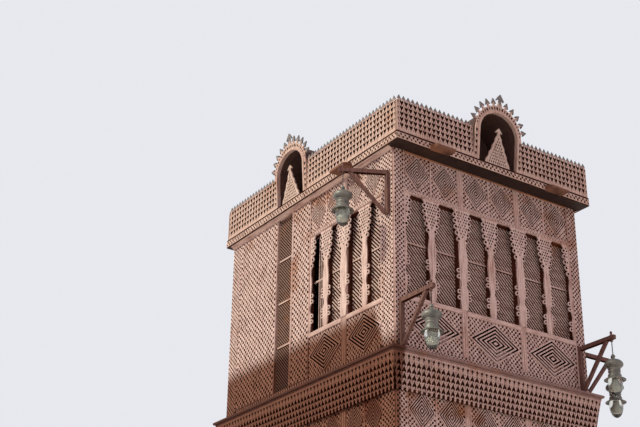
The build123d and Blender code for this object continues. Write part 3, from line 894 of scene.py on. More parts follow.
def leaf_hole(x, y, turn, length, breadth):
    """Six points round a pierced leaf."""
    outline = [(-0.5, 0), (-0.15, 0.5), (0.2, 0.42), (0.5, 0), (0.2, -0.42), (-0.15, -0.5)]
    return [(x + px * length * cos(turn) - py * breadth * sin(turn),
             y + px * length * sin(turn) + py * breadth * cos(turn)) for px, py in outline]


def round_hole(x, y, radius, sides=4):
    """Points round a small drilled hole."""
    return [(x + radius * cos(2 * pi * i / sides), y + radius * sin(2 * pi * i / sides))
            for i in range(sides)]


def pierced_sheet(outline, holes, thickness, cut_material=0, face_material=0):
    """A flat board face up on the origin, sawn to an outline and pierced with holes."""
    sheet = bmesh.new()
    cut_verts = set()
    for ring in [outline] + holes:
        verts = [sheet.verts.new((x, y, 0)) for x, y in ring]
        if ring is not outline:
            cut_verts.update(verts)
        for first, second in zip(verts, verts[1:] + verts[:1]):
            sheet.edges.new((first, second))
    bmesh.ops.triangle_fill(sheet, use_beauty=True, use_dissolve=False, edges=sheet.edges[:])
    raised = bmesh.ops.extrude_face_region(sheet, geom=sheet.faces[:])
    bmesh.ops.translate(sheet, vec=(0, 0, thickness), verts=new_verts(raised))
    bmesh.ops.recalc_face_normals(sheet, faces=sheet.faces)
    # Hole walls may take their own slot, which the pieces fill with painted shade.
    for face in sheet.faces:
        cut = abs(face.normal.z) < 0.5 and not cut_verts.isdisjoint(face.verts)
        face.material_index = cut_material if cut else face_material
    return sheet


def fret_holes(height, sense, shift):
    """Holes of one half of a board: rings, lobes, and leaves between the lobes."""
    holes = [round_hole(sense * (ring_centre - shift), share * height, ring_hole, 8)
             for share in ring_levels]
    for number, (share, reach) in enumerate(lobe_line):
        holes.append(round_hole(sense * (reach - lobe_inset - shift), share * height, lobe_hole, 8))
        leaves = [(x, share, reach - leaf_limits[0]) for x in leaf_places[0]]
        leaves += [(x, share + leaf_rise, reach - leaf_limits[1]) for x in leaf_places[1]]
        for place, (x, level, limit) in enumerate(leaves):
            if x < limit and x - shift > (fret_leaf[1] if shift > 0 else 0.0):
                lean = pi / 2 + (leaf_lean if (place + number) % 2 else -leaf_lean) * sense
                holes.append(leaf_hole(sense * (x - shift), level * height, lean, *fret_leaf))
    return holes


def fret_board(height, sense, shift):
    """One fretwork board with its backing of painted shade; sense 0 cuts both edges, 1 or -1 only the outer
    one.
    """
    edge = [(x - shift, y) for x, y in fret_edge(height)]
    back_foot, back_head = (share * height for share in backing_shares)
    back = [(backing_reaches[0] - shift, back_foot)]
    for share, reach in lobe_line:
        back += [(reach - backing_inset - shift, share * height - backing_half_lobe),
                 (reach - backing_inset - shift, share * height + backing_half_lobe),
                 (reach - backing_waist - shift, (share + leaf_rise) * height)]
    back.append((backing_reaches[1] - shift, back_head))
    if sense:
        outline = [(sense * x, y) for x, y in edge + [(0.0, height), (0.0, 0.0)]]
        back += [(backing_inset, back_head), (backing_inset, back_foot)]
        back = [(sense * x, y) for x, y in back]
        holes = fret_holes(height, sense, shift)
    else:
        outline = edge + [(-x, y) for x, y in reversed(edge)]
        back = back + [(-x, y) for x, y in reversed(back)]
        holes = fret_holes(height, 1, shift) + fret_holes(height, -1, shift)
        holes += [leaf_hole(0.0, (share + leaf_rise) * height, pi / 2, *fret_leaf)
                  for share, reach in lobe_line]
    discs = [round_hole(way * (ring_centre - shift), share * height, ring_radius - disc_edge, 8)
             for way in ((sense,) if sense else (1, -1)) for share in ring_levels]
    board = pierced_sheet(outline, holes, fret_thickness, 1)
    # Dark sheets of painted shade behind the holes.
    for shape in [back] + discs:
        backing = keep_pattern(pierced_sheet(shape, [], backing_thickness, face_material=1))
        set_pattern(board, backing, Matrix.Translation((0, 0, -backing_thickness - backing_gap)))
    return keep_pattern(board)


mullion_fret = fret_board(window_height, 0, 0.0)
end_frets = {sense: fret_board(window_height, sense, end_board_shift) for sense in (1, -1)}
for storey, foot in storeys.items():
    frets = bmesh.new()
    level = foot + sill_top
    for side in wall_turns:
        for start, end in bays(side):
            set_pattern(frets, mullion_fret, spot_on(side, (start + end) / 2, level, -fret_setback))
        ends = sorted((bays(side)[0][0], bays(side)[-1][1]), key=lambda end: along(side, end))
        for sense, distance in zip((1, -1), ends):
            set_pattern(frets, end_frets[sense], spot_on(side, distance, level, -fret_setback))
        cover = post_cover + by_side(side, 0.0, (side_post - front_post) / 2)
        post_fret = fret_board(window_height, 0, -cover)
        for (first, end), (start, last) in zip(bays(side), bays(side)[1:]):
            set_pattern(frets, post_fret, spot_on(side, (end + start) / 2, level))
    made = finish_piece(f"{storey}_fret_boards", frets, "fretwork_timber", fretwork_timber, painted_shade_timber)
    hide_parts(f"{storey}_fretwork")

# Floor between the storeys
# Plain level boards of teak close the floor's depth behind the skirt, and broad boards nailed to the
# joists make the floor itself, near black with painted shade.
frame_timber = make_timber("frame_timber", level_grain, 1.0, 1.0, (0.30, 0.17, 0.135))
floor_timber = make_timber("floor_timber", (2.0, 30.0, 2.0), 0.6, 0.0, (0.09, 0.05, 0.036),
                           (0.045, 0.024, 0.018))
dress(frame_timber, "floor_band")
dress(floor_timber, "upper_floor")

# Skirt
# Under the upper ledge a leaning board hangs on each side, pierced with rows of arrow-shaped slots and
# cut along its hem into pointed tongues. The slots' walls and a dark board behind it are painted shade.
skirt_top_reach = 0.170
skirt_hem_reach = 0.060
skirt_drop = 0.71
skirt_sheet = 0.014
skirt_backing = 0.012
skirt_plain = 0.075
skirt_hem_trim = 0.008
skirt_rows = 5
rows_sink_share = 0.4
first_row_rise = 0.45
skirt_arrow = 0.080
skirt_arrow_share = 0.80
skirt_arrow_rise = 0.10
skirt_gap = 0.096
skirt_gap_share = 0.95
edge_gap = 0.030
edge_gap_share = 0.7
skirt_hole = 0.011
hole_shift = 0.34
tongue_pitch = 0.115
tongue_length = 0.095
tongue_line = ((0.36, 0.62), (0.27, 0.40), (0.50, 0.0), (0.73, 0.40), (0.64, 0.62))
notch_shift = 0.010
notch_rise = 1.08
backing_overhang = 0.004
backing_foot_share = 0.10
skirt_timber = make_timber("skirt_timber", upright_grain, 0.9, 0.0, (0.53, 0.345, 0.288),
                           (0.28, 0.14, 0.105))


def mirrored(right, scale_x, scale_y, x=0.0, y=0.0):
    """Points of a shape that is alike on both sides, from those of its right side, foot to tip."""
    left = [(-px, py) for px, py in reversed(right) if px]
    return [(x + px * scale_x, y + py * scale_y) for px, py in right + left]


def arrow_slot(x, y, slot_width, slot_height):
    """A sawn slot like an arrow that points up."""
    right = [(0.13, -0.47), (0.17, -0.05), (0.5, 0.02), (0.0, 0.50)]
    return mirrored(right, slot_width, slot_height, x, y)


def arrow_gap(x, y, gap_width, gap_height):
    """The gap that stacked arrowheads leave between two columns; a height below 0 points it down."""
    right = [(0.0, -0.28), (0.46, -0.5), (0.5, -0.18), (0.42, -0.02), (0.24, 0.20), (0.10, 0.42),
             (0.0, 0.68)]
    return mirrored(right, gap_width, gap_height, x, y)


ledge_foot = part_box("upper_ledge")[0].z
lean_angle = (skirt_top_reach - skirt_hem_reach) / skirt_drop
slope_length = (skirt_drop**2 + (skirt_top_reach - skirt_hem_reach) ** 2) ** 0.5
for side in wall_turns:
    hem_length = length_of(side) + 2 * skirt_hem_reach
    top_length = length_of(side) + 2 * skirt_top_reach
    tongues = round(hem_length / tongue_pitch)
    pitch = hem_length / tongues
    row_step = (slope_length - skirt_plain - tongue_length * rows_sink_share) / skirt_rows
    outline = [(top_length / 2, slope_length), (-top_length / 2, slope_length)]
    backing = list(outline)
    for i in range(tongues):
        x = -hem_length / 2 + i * pitch
        outline.append((x + notch_shift, tongue_length * notch_rise))
        outline += [(x + share * pitch, tongue_length * level) for share, level in tongue_line]
    outline.append((hem_length / 2 - skirt_hem_trim, tongue_length))
    backing += [(sense * (hem_length / 2 + backing_overhang), tongue_length * backing_foot_share)
                for sense in (-1, 1)]
    holes = []
    for row in range(skirt_rows):
        level = tongue_length + (row + first_row_rise) * row_step
        spread = 1 + (top_length / hem_length - 1) * level / slope_length
        for i in range(1, tongues):
            x = (-hem_length / 2 + i * pitch) * spread
            if row == skirt_rows - 1:
                holes.append(arrow_slot(x, level + row_step * skirt_arrow_rise, skirt_arrow,
                                        row_step * skirt_arrow_share))
            else:
                holes.append(arrow_gap(x, level, skirt_gap, row_step * skirt_gap_share))
            if i < tongues - 1:
                holes.append(round_hole(x + pitch / 2 * spread, level + row_step * hole_shift, skirt_hole))
        for sense in (1, -1):
            x = sense * (hem_length / 2 * spread - edge_gap)
            holes.append(arrow_gap(x, level, edge_gap, row_step * edge_gap_share))
    skirt = bmesh.new()
    place = on_side(side, skirt_hem_reach) @ Matrix.Translation((0, ledge_foot - skirt_drop, 0))
    place = place @ Matrix.Rotation(lean_angle, 4, "X") @ Matrix.Translation((0, 0, -skirt_sheet))
    set_pattern(skirt, keep_pattern(pierced_sheet(outline, holes, skirt_sheet, 1)), place)
    # A dark board of painted shade behind the sheet.
    back = pierced_sheet(backing, [], skirt_backing, face_material=1)
    set_pattern(skirt, keep_pattern(back), place @ Matrix.Translation((0, 0, -skirt_backing)))
    made = finish_piece(f"pierced_skirt_{side}", skirt, "skirt_timber", skirt_timber, painted_shade_timber)
    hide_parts(f"skirt_{side}")

# Roof edge
# The roof deck overhangs the walls, and its boards show from below as a soffit, near black with painted
# shade. A deep fascia with carved leaves between two grooves covers their ends, and dark strips of
# painted shade lie in the grooves. Where the overhang is small, a plain sloping board fills the angle
# under it.
roof_bleach = (0.62, 0.42, 0.34)
# The soffit's near black is painted shade.
soffit_timber = make_timber("soffit_timber", level_grain, 0.5, 0.0, (0.036, 0.017, 0.012),
                            (0.016, 0.007, 0.005), (0.07, 0.025, 0.012))
fascia_timber = make_timber("fascia_timber", level_grain, 0.6, 0.0, roof_bleach)
dress(soffit_timber, "roof_deck", "fascia")
fascia_low, fascia_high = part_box("fascia")
fascia_height = fascia_high.z - fascia_low.z
front_overhang = -fascia_low.y - depth / 2
side_overhang = fascia_high.x - width / 2
fascia_bead = 0.009
fascia_groove = 0.046
fascia_foot_groove = 0.026
fascia_leaf_pitch = 0.052
strip_end = 0.010
strip_sunk = 0.004
strip_reach = 0.002
groove_top_gap = 0.004
groove_foot_gap = 0.001
cove_drop = 0.055
cove_foot = 0.020
cove_gap = 0.022
cove_thickness = 0.016


def overhang(side):
    """How far the roof's edge stands out over one side."""
    return front_overhang if side == "front" else side_overhang


edge_trim = bmesh.new()
fascia_spans = {
    "front": (fascia_low.x, fascia_high.x),
    "right": (fascia_low.y, fascia_high.y),
    "back": (-fascia_high.x, -fascia_low.x),
    "left": (-fascia_high.y, -fascia_low.y),
}
foot_groove_top = fascia_low.z + fascia_foot_groove
top_groove_foot = fascia_high.z - fascia_groove
for side, (left, right) in fascia_spans.items():
    face = on_side(side, overhang(side))
    strip_height = fascia_height - fascia_groove - fascia_foot_groove - 2 * fascia_bead
    strip = carved_board(right - left - 2 * strip_end, strip_height, fascia_leaf_pitch)
    spot = ((left + right) / 2, (foot_groove_top + top_groove_foot) / 2, -strip_sunk)
    set_pattern(edge_trim, keep_pattern(strip), face @ Matrix.Translation(spot))
    # Dark strips of painted shade in the grooves.
    for bottom, top in ((top_groove_foot, fascia_high.z - groove_top_gap),
                        (fascia_low.z + groove_foot_gap, foot_groove_top)):
        add_block(edge_trim, (left, bottom, -strip_sunk), (right, top, strip_reach), face, 1)
    for level in (foot_groove_top + fascia_bead / 2, top_groove_foot - fascia_bead / 2):
        add_rod(edge_trim, *(face @ Vector((x, level, strip_reach)) for x in (left, right)), fascia_bead)
    if side != "front":
        reach = side_overhang - cove_gap - cove_foot
        lean = Matrix.Rotation(atan2(reach, cove_drop), 4, "X")
        cove = on_side(side, cove_foot) @ Matrix.Translation((0, fascia_low.z - cove_drop, 0)) @ lean
        half = length_of(side) / 2
        add_block(edge_trim, (-half, 0, -cove_thickness), (half, (reach**2 + cove_drop**2) ** 0.5, 0), cove)
finish_piece("fascia_carving", edge_trim, "fascia_timber", fascia_timber, painted_shade_timber)

# Terrace boards
# Thin weathered boards are nailed over the deck between the parapets, one beside the other with
# narrow gaps, so that the flat roof can be walked on.
terrace_board = 0.21
terrace_gap = 0.012
terrace_thickness = 0.008
terrace_sunk = 0.001
terrace_inset = 0.07
terrace_timber = make_timber("terrace_timber", (38.0, 2.2, 38.0), 1.0, 0.0, (0.30, 0.21, 0.17),
                             (0.15, 0.09, 0.07))
deck_low, deck_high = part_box("roof_deck")
terrace = bmesh.new()
terrace_width = deck_high.x - deck_low.x - 2 * terrace_inset
boards_laid = round(terrace_width / terrace_board)
terrace_pitch = terrace_width / boards_laid
for i in range(boards_laid):
    left = deck_low.x + terrace_inset + i * terrace_pitch
    add_block(terrace, (left, deck_low.y + terrace_inset, deck_high.z - terrace_sunk),
              (left + terrace_pitch - terrace_gap, deck_high.y - terrace_inset,
               deck_high.z + terrace_thickness))
finish_piece("terrace_boards", terrace, "soffit_timber", terrace_timber)

# Parapet
# Boards sawn into columns of stacked arrowheads stand on the roof's edge, each column ending in a
# silvered point. The slots between the columns taper downwards; their walls and a dark board behind
# them are painted shade.
parapet_low, parapet_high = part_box("parapet_left")
roof_level = parapet_low.z
finial_height = 0.115
finial_width = 0.104
finial_pitch = 0.12
parapet_height = parapet_high.z - roof_level - finial_height
parapet_setback = 0.012
parapet_thickness = 0.045
corner_joint = 0.0005
parapet_lap = parapet_setback + parapet_thickness + corner_joint
parapet_sheet = 0.020
parapet_rows = 5
parapet_plain = 0.080
parapet_gap = 0.092
parapet_gap_share = 0.94
parapet_hole = 0.012
silver_share = 0.2
gap_jumps = (0.008, 0.005)
end_notch = 0.02
point_notch = 0.004
backing_notch = 0.012
arch_width = 1.06
arch_ring = 0.105
arch_spring = 0.72
side_arch_from_front = 3.56
parapet_timber = make_timber("parapet_timber", upright_grain, 0.7, 0.0, roof_bleach)
silver_timber = make_timber("silver_timber", upright_grain, 0.0, 0.0, silvered, (0.16, 0.145, 0.135))


def arch_centre(side):
    """Distance of a side's arch from the front corner, or from the end of front and back."""
    return by_side(side, width / 2, side_arch_from_front)


def arrow_finial(head_width, height):
    """Points of an arrowhead on a stem, from its right foot round to its left foot."""
    right = [(0.19, 0.0), (0.14, 0.24), (0.50, 0.10), (0.48, 0.26), (0.20, 0.68), (0.0, 1.0)]
    return mirrored(right, head_width, height)


def parapet_stretch(start, end):
    """One stretch of pierced parapet between two places along a side, with its backing."""
    count = round((end - start) / finial_pitch)
    pitch = (end - start) / count
    outline = [(start, 0.0), (end, 0.0), (end, parapet_height - end_notch)]
    for i in reversed(range(count)):
        x = start + (i + 0.5) * pitch
        outline += [(x + px, parapet_height + py) for px, py in arrow_finial(finial_width, finial_height)]
        outline.append((x - pitch / 2, parapet_height - point_notch))
    outline[-1] = (start, parapet_height - end_notch)
    row_step = (parapet_height - parapet_plain) / parapet_rows
    holes = []
    for row in range(parapet_rows):
        level = parapet_plain + (row + 0.5) * row_step
        for i in range(count):
            x = start + (i + 0.5) * pitch
            holes.append(round_hole(x, level - row_step * hole_shift, parapet_hole))
            if i:
                chance = fixed_chance(i, row) - 0.5
                holes.append(arrow_gap(x - pitch / 2 + gap_jumps[0] * chance, level - gap_jumps[1] * chance,
                                       parapet_gap, -row_step * parapet_gap_share))
        for x in (start + edge_gap, end - edge_gap):
            holes.append(arrow_gap(x, level, edge_gap, -row_step * edge_gap_share))
    sheet = pierced_sheet(outline, holes, parapet_sheet, 1)
    for face in sheet.faces:
        if face.calc_center_median().y > parapet_height + finial_height * silver_share:
            face.material_index = 2
    bmesh.ops.translate(sheet, vec=(0, 0, -parapet_sheet), verts=sheet.verts)
    # A dark board of painted shade behind the slots.
    add_block(sheet, (start, 0, -parapet_thickness),
              (end, parapet_height - backing_notch, -parapet_sheet), material=1)
    return keep_pattern(sheet)


ring_outer = arch_width / 2 + arch_ring
for side in wall_turns:
    start, end = by_side(
        side, (parapet_setback - side_overhang, width + side_overhang - parapet_setback),
        (parapet_lap - front_overhang, depth + side_overhang - parapet_lap))
    parapet = bmesh.new()
    face = on_side(side, overhang(side) - parapet_setback) @ Matrix.Translation((0, roof_level, 0))
    for first, last in ((start, arch_centre(side) - ring_outer), (arch_centre(side) + ring_outer, end)):
        set_pattern(parapet, parapet_stretch(*span(side, first, last)), face)
    made = finish_piece(f"pierced_parapet_{side}", parapet, "parapet_timber", parapet_timber,
                        painted_shade_timber, silver_timber)
    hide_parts(f"parapet_{side}")

# Arch rings
# In the middle of each parapet stands an arched hood. Its ring is a fretted board with arrow finials
# that stand out like rays, the largest at the crown, and a plain band and lining round its opening. A
# dark board of painted shade lies behind the fretted ring, whose slots' walls take painted shade too. It
# leans outwards, and a dark collar closes the gap between it and the hood.
arch_thickness = 0.060
ring_band = 0.034
crown_drop = 0.055
band_thickness = 0.014
lining_thickness = 0.012
lining_depth = 0.075
lining_reach = 0.016
lining_lap = 0.002
collar_depth = 0.260
collar_lap = 0.004
ring_leans = {side: radians(7.0 if side == "front" else 3.5) for side in wall_turns}
ray_count = 11
lowest_ray = 18
ray_height = 0.185
ray_width = 0.120
crown_height = 0.30
crown_width = 0.22
ray_root = ring_outer - 0.010
dip_radius = ring_outer - 0.008
shoulder_radius = ring_outer + 0.006
silver_radius = ring_outer + 0.050
ring_inner = arch_width / 2
ring_slot_edge = 0.020
ray_slot = 0.036
dip_slot = 0.054
jamb_slot = (0.054, -0.105)
jamb_slots = 5
jamb_slot_pitch = 0.132
lowest_jamb_slot = 0.11
arch_segments = 24
arch_timber = make_timber("arch_timber", upright_grain, 0.6, 0.0, roof_bleach)


def ring_point(radius, degrees_round):
    """A point on a ring about the arch's springing."""
    turn = radians(degrees_round)
    return (radius * cos(turn), arch_spring + radius * sin(turn))


def opening_reach(degrees_round):
    """How far the opening reaches from the middle of the springing in one direction."""
    turn = radians(degrees_round)
    return ((cos(turn) / ring_inner) ** 2 + (sin(turn) / (ring_inner - crown_drop)) ** 2) ** -0.5


def opening_line(grow=0.0):
    """Points up the right jamb, over the flattened arch and down the left one."""
    line = [(ring_inner + grow, 0.0)]
    for i in range(arch_segments + 1):
        degrees_round = 180 / arch_segments * i
        line.append(ring_point(opening_reach(degrees_round) + grow, degrees_round))
    return line + [(-ring_inner - grow, 0.0)]


def crown_finial(head_width, height):
    """Points of the crown's barbed arrow on its spreading foot."""
    right = [(0.33, 0.0), (0.17, 0.36), (0.12, 0.60), (0.44, 0.44), (0.5, 0.53), (0.24, 0.80),
             (0.0, 1.0)]
    return mirrored(right, head_width, height)


def ray_finial(head_width, height):
    """Points of a barbed arrowhead on a short stem."""
    right = [(0.20, 0.0), (0.15, 0.44), (0.50, 0.28), (0.50, 0.42), (0.22, 0.76), (0.0, 1.0)]
    return mirrored(right, head_width, height)


def ray_points(degrees_round, finial):
    """A finial's points, turned to stand out from the ring."""
    turn = radians(degrees_round)
    return [((ray_root + py) * cos(turn) + px * sin(turn),
             arch_spring + (ray_root + py) * sin(turn) - px * cos(turn)) for px, py in finial]


def ring_slot(degrees_round, breadth):
    """Points of a leaf-shaped slot that points outwards across the ring."""
    inner = opening_reach(degrees_round) + ring_band + ring_slot_edge
    length = ring_outer - ring_slot_edge - inner
    outline = [(0, 0), (0.35, 0.5), (0.75, 0.4), (1, 0), (0.75, -0.4), (0.35, -0.5)]
    return [ring_point(inner + px * length, degrees_round + degrees(py * breadth / ring_outer))
            for px, py in outline]


ray_step = (180 - 2 * lowest_ray) / (ray_count - 1)
rays = [lowest_ray + i * ray_step for i in range(ray_count)]
dips = [ray - ray_step / 2 for ray in rays + [rays[-1] + ray_step]]
outline = [(ring_outer, 0.0), (ring_outer, arch_spring)]
for dip, ray in zip(dips, rays):
    outline.append(ring_point(dip_radius, dip))
    if ray == rays[ray_count // 2]:
        outline += ray_points(ray, crown_finial(crown_width, crown_height))
    else:
        outline.append(ring_point(shoulder_radius, ray - ray_step / 4))
        outline += ray_points(ray, ray_finial(ray_width, ray_height))
        outline.append(ring_point(shoulder_radius, ray + ray_step / 4))
outline += [ring_point(dip_radius, dips[-1]), (-ring_outer, arch_spring), (-ring_outer, 0.0)]
slots = [ring_slot(ray, ray_slot) for ray in rays] + [ring_slot(dip, dip_slot) for dip in dips]
jamb_middle = ring_inner + ring_band + (arch_ring - ring_band) / 2
for i in range(jamb_slots):
    for x in (jamb_middle, -jamb_middle):
        slots.append(arrow_gap(x, lowest_jamb_slot + i * jamb_slot_pitch, *jamb_slot))
fretted = pierced_sheet(outline + opening_line()[::-1], slots, arch_thickness / 2, 1)
for face in fretted.faces:
    centre = face.calc_center_median() - Vector((0, arch_spring, 0))
    if centre.length > silver_radius and centre.y > 0:
        face.material_index = 2


def arch_board(outer_line, shrink, thickness, material=0):
    """A plain board between an outer line and the opening, which it may narrow."""
    return pierced_sheet(outer_line + opening_line(-shrink)[::-1], [], thickness, face_material=material)


back_edge = ring_outer - 0.020
back_line = [(back_edge, 0.0)] + [ring_point(back_edge, 10 * i) for i in range(19)] + [(-back_edge, 0.0)]
# The first board, behind the fretted ring, is painted shade.
ring_parts = [
    (0, arch_board(back_line, 0, arch_thickness / 2, 1)),
    (arch_thickness / 2, fretted),
    (arch_thickness, arch_board(opening_line(ring_band), 0, band_thickness)),
    (arch_thickness - lining_depth,
     arch_board(opening_line(lining_lap), lining_thickness, lining_depth + lining_reach)),
    (arch_thickness - collar_depth,
     arch_board(opening_line(collar_lap), lining_thickness / 2, collar_depth, 3)),
]
ring_parts = [(level, keep_pattern(part)) for level, part in ring_parts]


def stand_in_arch(side, thickness):
    """Places a board in a side's arch, leaning outwards as the ring does."""
    foot = spot_on(side, arch_centre(side), roof_level, overhang(side) - thickness)
    return foot @ Matrix.Rotation(ring_leans[side], 4, "X")


rings = bmesh.new()
for side in wall_turns:
    for level, pattern in ring_parts:
        place = stand_in_arch(side, arch_thickness) @ Matrix.Translation((0, 0, level))
        set_pattern(rings, pattern, place)
hood_timber = make_timber("hood_timber", upright_grain, 0.4, 0.0, (0.10, 0.05, 0.04),
                          (0.045, 0.022, 0.018), (0.14, 0.05, 0.025))
made = finish_piece("rayed_arches", rings, "arch_timber", arch_timber, painted_shade_timber, silver_timber,
                    hood_timber)
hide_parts("arch_rings")

# Arch hoods
# A deep barrel of flat staves runs back from each ring to a board, dark inside. A tall pierced gable
# with a pointed finial stands in each opening; its leaf holes' walls take painted shade.
dress(hood_timber, "arch_hoods", "hood_backs")
gable_width = 0.68
gable_height = 0.69
gable_neck = 0.035
gable_thickness = 0.030
gable_finial_width = 0.17
gable_finial_height = 0.16
gable_waves = 8
gable_wave = 0.012
gable_edge = 0.045
gable_leaf = (0.062, 0.026)
gable_leaf_lean = 0.35
gable_leaf_columns = 6
gable_leaf_rows = 9
gable_leaf_pitch = 0.056
gable_row_pitch = 0.068
lowest_gable_leaf = 0.055
gable_timber = make_timber("gable_timber", upright_grain, 0.2, 0.0, (0.58, 0.42, 0.34))


def gable_reach(share):
    """Half the gable's width at a share of its height."""
    return gable_width / 2 * (1 - share) + gable_neck * share


gable_outline = [(gable_width / 2, 0.0)]
for i in range(1, gable_waves):
    wave = gable_wave if i % 2 else -gable_wave
    gable_outline.append((gable_reach(i / gable_waves) + wave, gable_height * i / gable_waves))
left_edge = [(-x, y) for x, y in reversed(gable_outline)]
gable_outline += [(x, gable_height + y) for x, y in ray_finial(gable_finial_width, gable_finial_height)]
gable_outline += left_edge
gable_holes = []
for row in range(gable_leaf_rows):
    level = lowest_gable_leaf + row * gable_row_pitch
    reach = gable_reach(level / gable_height) - gable_edge
    for column in range(-gable_leaf_columns, gable_leaf_columns + 1):
        x = (column + 0.5 * (row % 2)) * gable_leaf_pitch
        if abs(x) < reach:
            lean = pi / 2 + (gable_leaf_lean if (row + column) % 2 else -gable_leaf_lean)
            gable_holes.append(leaf_hole(x, level, lean, *gable_leaf))
gable_pattern = keep_pattern(pierced_sheet(gable_outline, gable_holes, gable_thickness, 1))
gables = bmesh.new()
for side in wall_turns:
    set_pattern(gables, gable_pattern, stand_in_arch(side, gable_thickness))
made = finish_piece("pierced_gables", gables, "gable_timber", gable_timber, painted_shade_timber)
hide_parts("arch_gables")

# Brackets and beam ends
# Dark timbers: short roofed beam ends on the fascia, and four brackets with a post, an arm and
# a strut. Each arm has a dark strip of painted shade below, and a turned knob and boss where its lantern
# hangs.
bracket_timber = make_timber("bracket_timber", upright_grain, 0.7, 0.0, (0.17, 0.080, 0.062),
                             (0.040, 0.015, 0.010), (0.15, 0.05, 0.02))
beam_timber = make_timber("beam_timber", level_grain, 1.0, 0.0, (0.22, 0.095, 0.055),
                          (0.06, 0.022, 0.012))
dress(beam_timber, "beam_ends")
dress(bracket_timber, "lamp_brackets")
bracket_section = 0.085
bracket_reach = 0.98
bracket_height = 0.95
bracket_foot = 0.06
knob_seat = 0.004
near_bracket = 0.13
far_bracket = 0.20
strip_drop = 0.005
strip_lap = 0.001
strip_end_gap = 0.05
high_bracket_foot = 2.80
high_bracket_swing = radians(28)
chain_drop = 0.30
lantern_height = 0.88
lantern_radius = 0.20
tail = 0.09
upper_foot = storeys["upper"]
brackets = (
    ("front", near_bracket, upper_foot + bracket_foot, 0.0),
    ("front", width - far_bracket, upper_foot + bracket_foot, 0.0),
    ("right", near_bracket, upper_foot + bracket_foot, 0.0),
    ("left", near_bracket, upper_foot + high_bracket_foot, high_bracket_swing),
)


def arm_place(bracket):
    """Places a shape on one bracket: X runs out along its arm from the post's middle, Z runs up."""
    side, distance, level, swing = bracket
    face = on_side(side, bracket_section / 2)
    foot = face @ Vector((along(side, distance), level, 0))
    outward = radians(wall_turns[side] - 90) - swing
    return Matrix.Translation(foot) @ Matrix.Rotation(outward, 4, "Z")


def turned_shape(shape, profile, place, steps, close_ends=True):
    """Spin a profile of radius and height about Z, and set it in its place."""
    made = bmesh.new()
    verts = [made.verts.new((radius, 0, height)) for radius, height in profile]
    edges = [made.edges.new(pair) for pair in zip(verts, verts[1:])]
    bmesh.ops.spin(made, geom=verts + edges, cent=(0, 0, 0), axis=(0, 0, 1), angle=2 * pi,
                   steps=steps, use_merge=True)
    bmesh.ops.remove_doubles(made, verts=made.verts, dist=0.0002)
    if close_ends:
        bmesh.ops.holes_fill(made, edges=[edge for edge in made.edges if edge.is_boundary])
    bmesh.ops.recalc_face_normals(made, faces=made.faces)
    for face in made.faces:
        face.smooth = True
    set_pattern(shape, keep_pattern(made), place)


knobs = bmesh.new()
knob_steps = 12
knob = ((0.0, 0.0), (0.030, 0.004), (0.034, 0.020), (0.016, 0.034), (0.018, 0.046), (0.030, 0.062),
        (0.024, 0.084), (0.010, 0.096), (0.0, 0.112))
boss_spread = 1.15
boss_flatness = 0.7
boss_drop = 0.05
boss = [(r * boss_spread, -h * boss_flatness) for r, h in knob[:6]] + [(0.0, -boss_drop)]
arm_foot = bracket_height - bracket_section
for bracket in brackets:
    place = arm_place(bracket)
    for profile, level in ((knob, bracket_height - knob_seat), (boss, arm_foot + knob_seat)):
        spot = place @ Matrix.Translation((bracket_reach - tail, 0, level))
        turned_shape(knobs, profile, spot, knob_steps)
    # A dark strip of painted shade under each arm.
    add_block(knobs, (bracket_section / 2, knob_seat - bracket_section / 2, arm_foot - strip_drop),
              (bracket_reach - strip_end_gap, bracket_section / 2 - knob_seat, arm_foot + strip_lap),
              place, 1)
finish_piece("bracket_knobs", knobs, "bracket_timber", bracket_timber, painted_shade_timber)

# Lanterns
# Each hangs on a short iron chain. Weathered grey-green metal makes its cap, dome, ribbed neck and
# flared brim, and an egg-shaped glass bell under the brim holds one bulb.
chain_wire = 0.0045
link_length = 0.044
link_width = 0.024
link_overlap = 0.78
link_steps = 12
wire_sides = 6
lantern_steps = 32
bulb_steps = 20
glass_thickness = 0.004
metal_paint = (0.175, 0.158, 0.132)
metal_dark = (0.085, 0.088, 0.078)
metal_rust = (0.19, 0.085, 0.040)


def make_metal(name, paint, dark, rust):
    """Old paint on metal: chalky where rain washes it, dark in its folds, with a little rust."""
    made, tree, shader = start_material(name)
    place = place_on_object(tree)
    stained = fade_between(tree, mottle(tree, place, 9.0, 5.0), 0.45, 0.7)
    specks = fade_between(tree, mottle(tree, place, 48.0, 3.0), 0.62, 0.75)
    colour = blend_colours(tree, stained, opaque(paint), opaque(dark))
    colour = blend_colours(tree, specks, colour, opaque(rust))
    tree.links.new(colour, shader.inputs["Base Color"])
    worn = calculate(tree, "ADD", calculate(tree, "MULTIPLY", stained, 0.25), 0.42)
    tree.links.new(worn, shader.inputs["Roughness"])
    shader.inputs["Metallic"].default_value = 0.25
    raise_surface(tree, shader, 0.4, 0.002, specks)
    return made


lantern_metal = make_metal("lantern_metal", metal_paint, metal_dark, metal_rust)
chains = bmesh.new()
heads = bmesh.new()
glasses = bmesh.new()
bulbs = bmesh.new()
head_profile = [
    (0.0, 1.0), (0.05, 0.995), (0.11, 0.985), (0.20, 0.955), (0.24, 0.935), (0.20, 0.915), (0.15, 0.905),
    (0.15, 0.885), (0.27, 0.870), (0.31, 0.862), (0.52, 0.848), (0.72, 0.825), (0.88, 0.790),
    (0.96, 0.750), (0.94, 0.712), (0.84, 0.686), (0.60, 0.672), (0.58, 0.660), (0.64, 0.648),
    (0.64, 0.622), (0.57, 0.612), (0.57, 0.592), (0.63, 0.582), (0.63, 0.556), (0.57, 0.546),
    (0.57, 0.520), (0.65, 0.500), (0.69, 0.470), (0.66, 0.450), (0.74, 0.430), (1.00, 0.392),
    (1.10, 0.378), (1.10, 0.366), (1.00, 0.372), (0.72, 0.398), (0.0, 0.402),
]
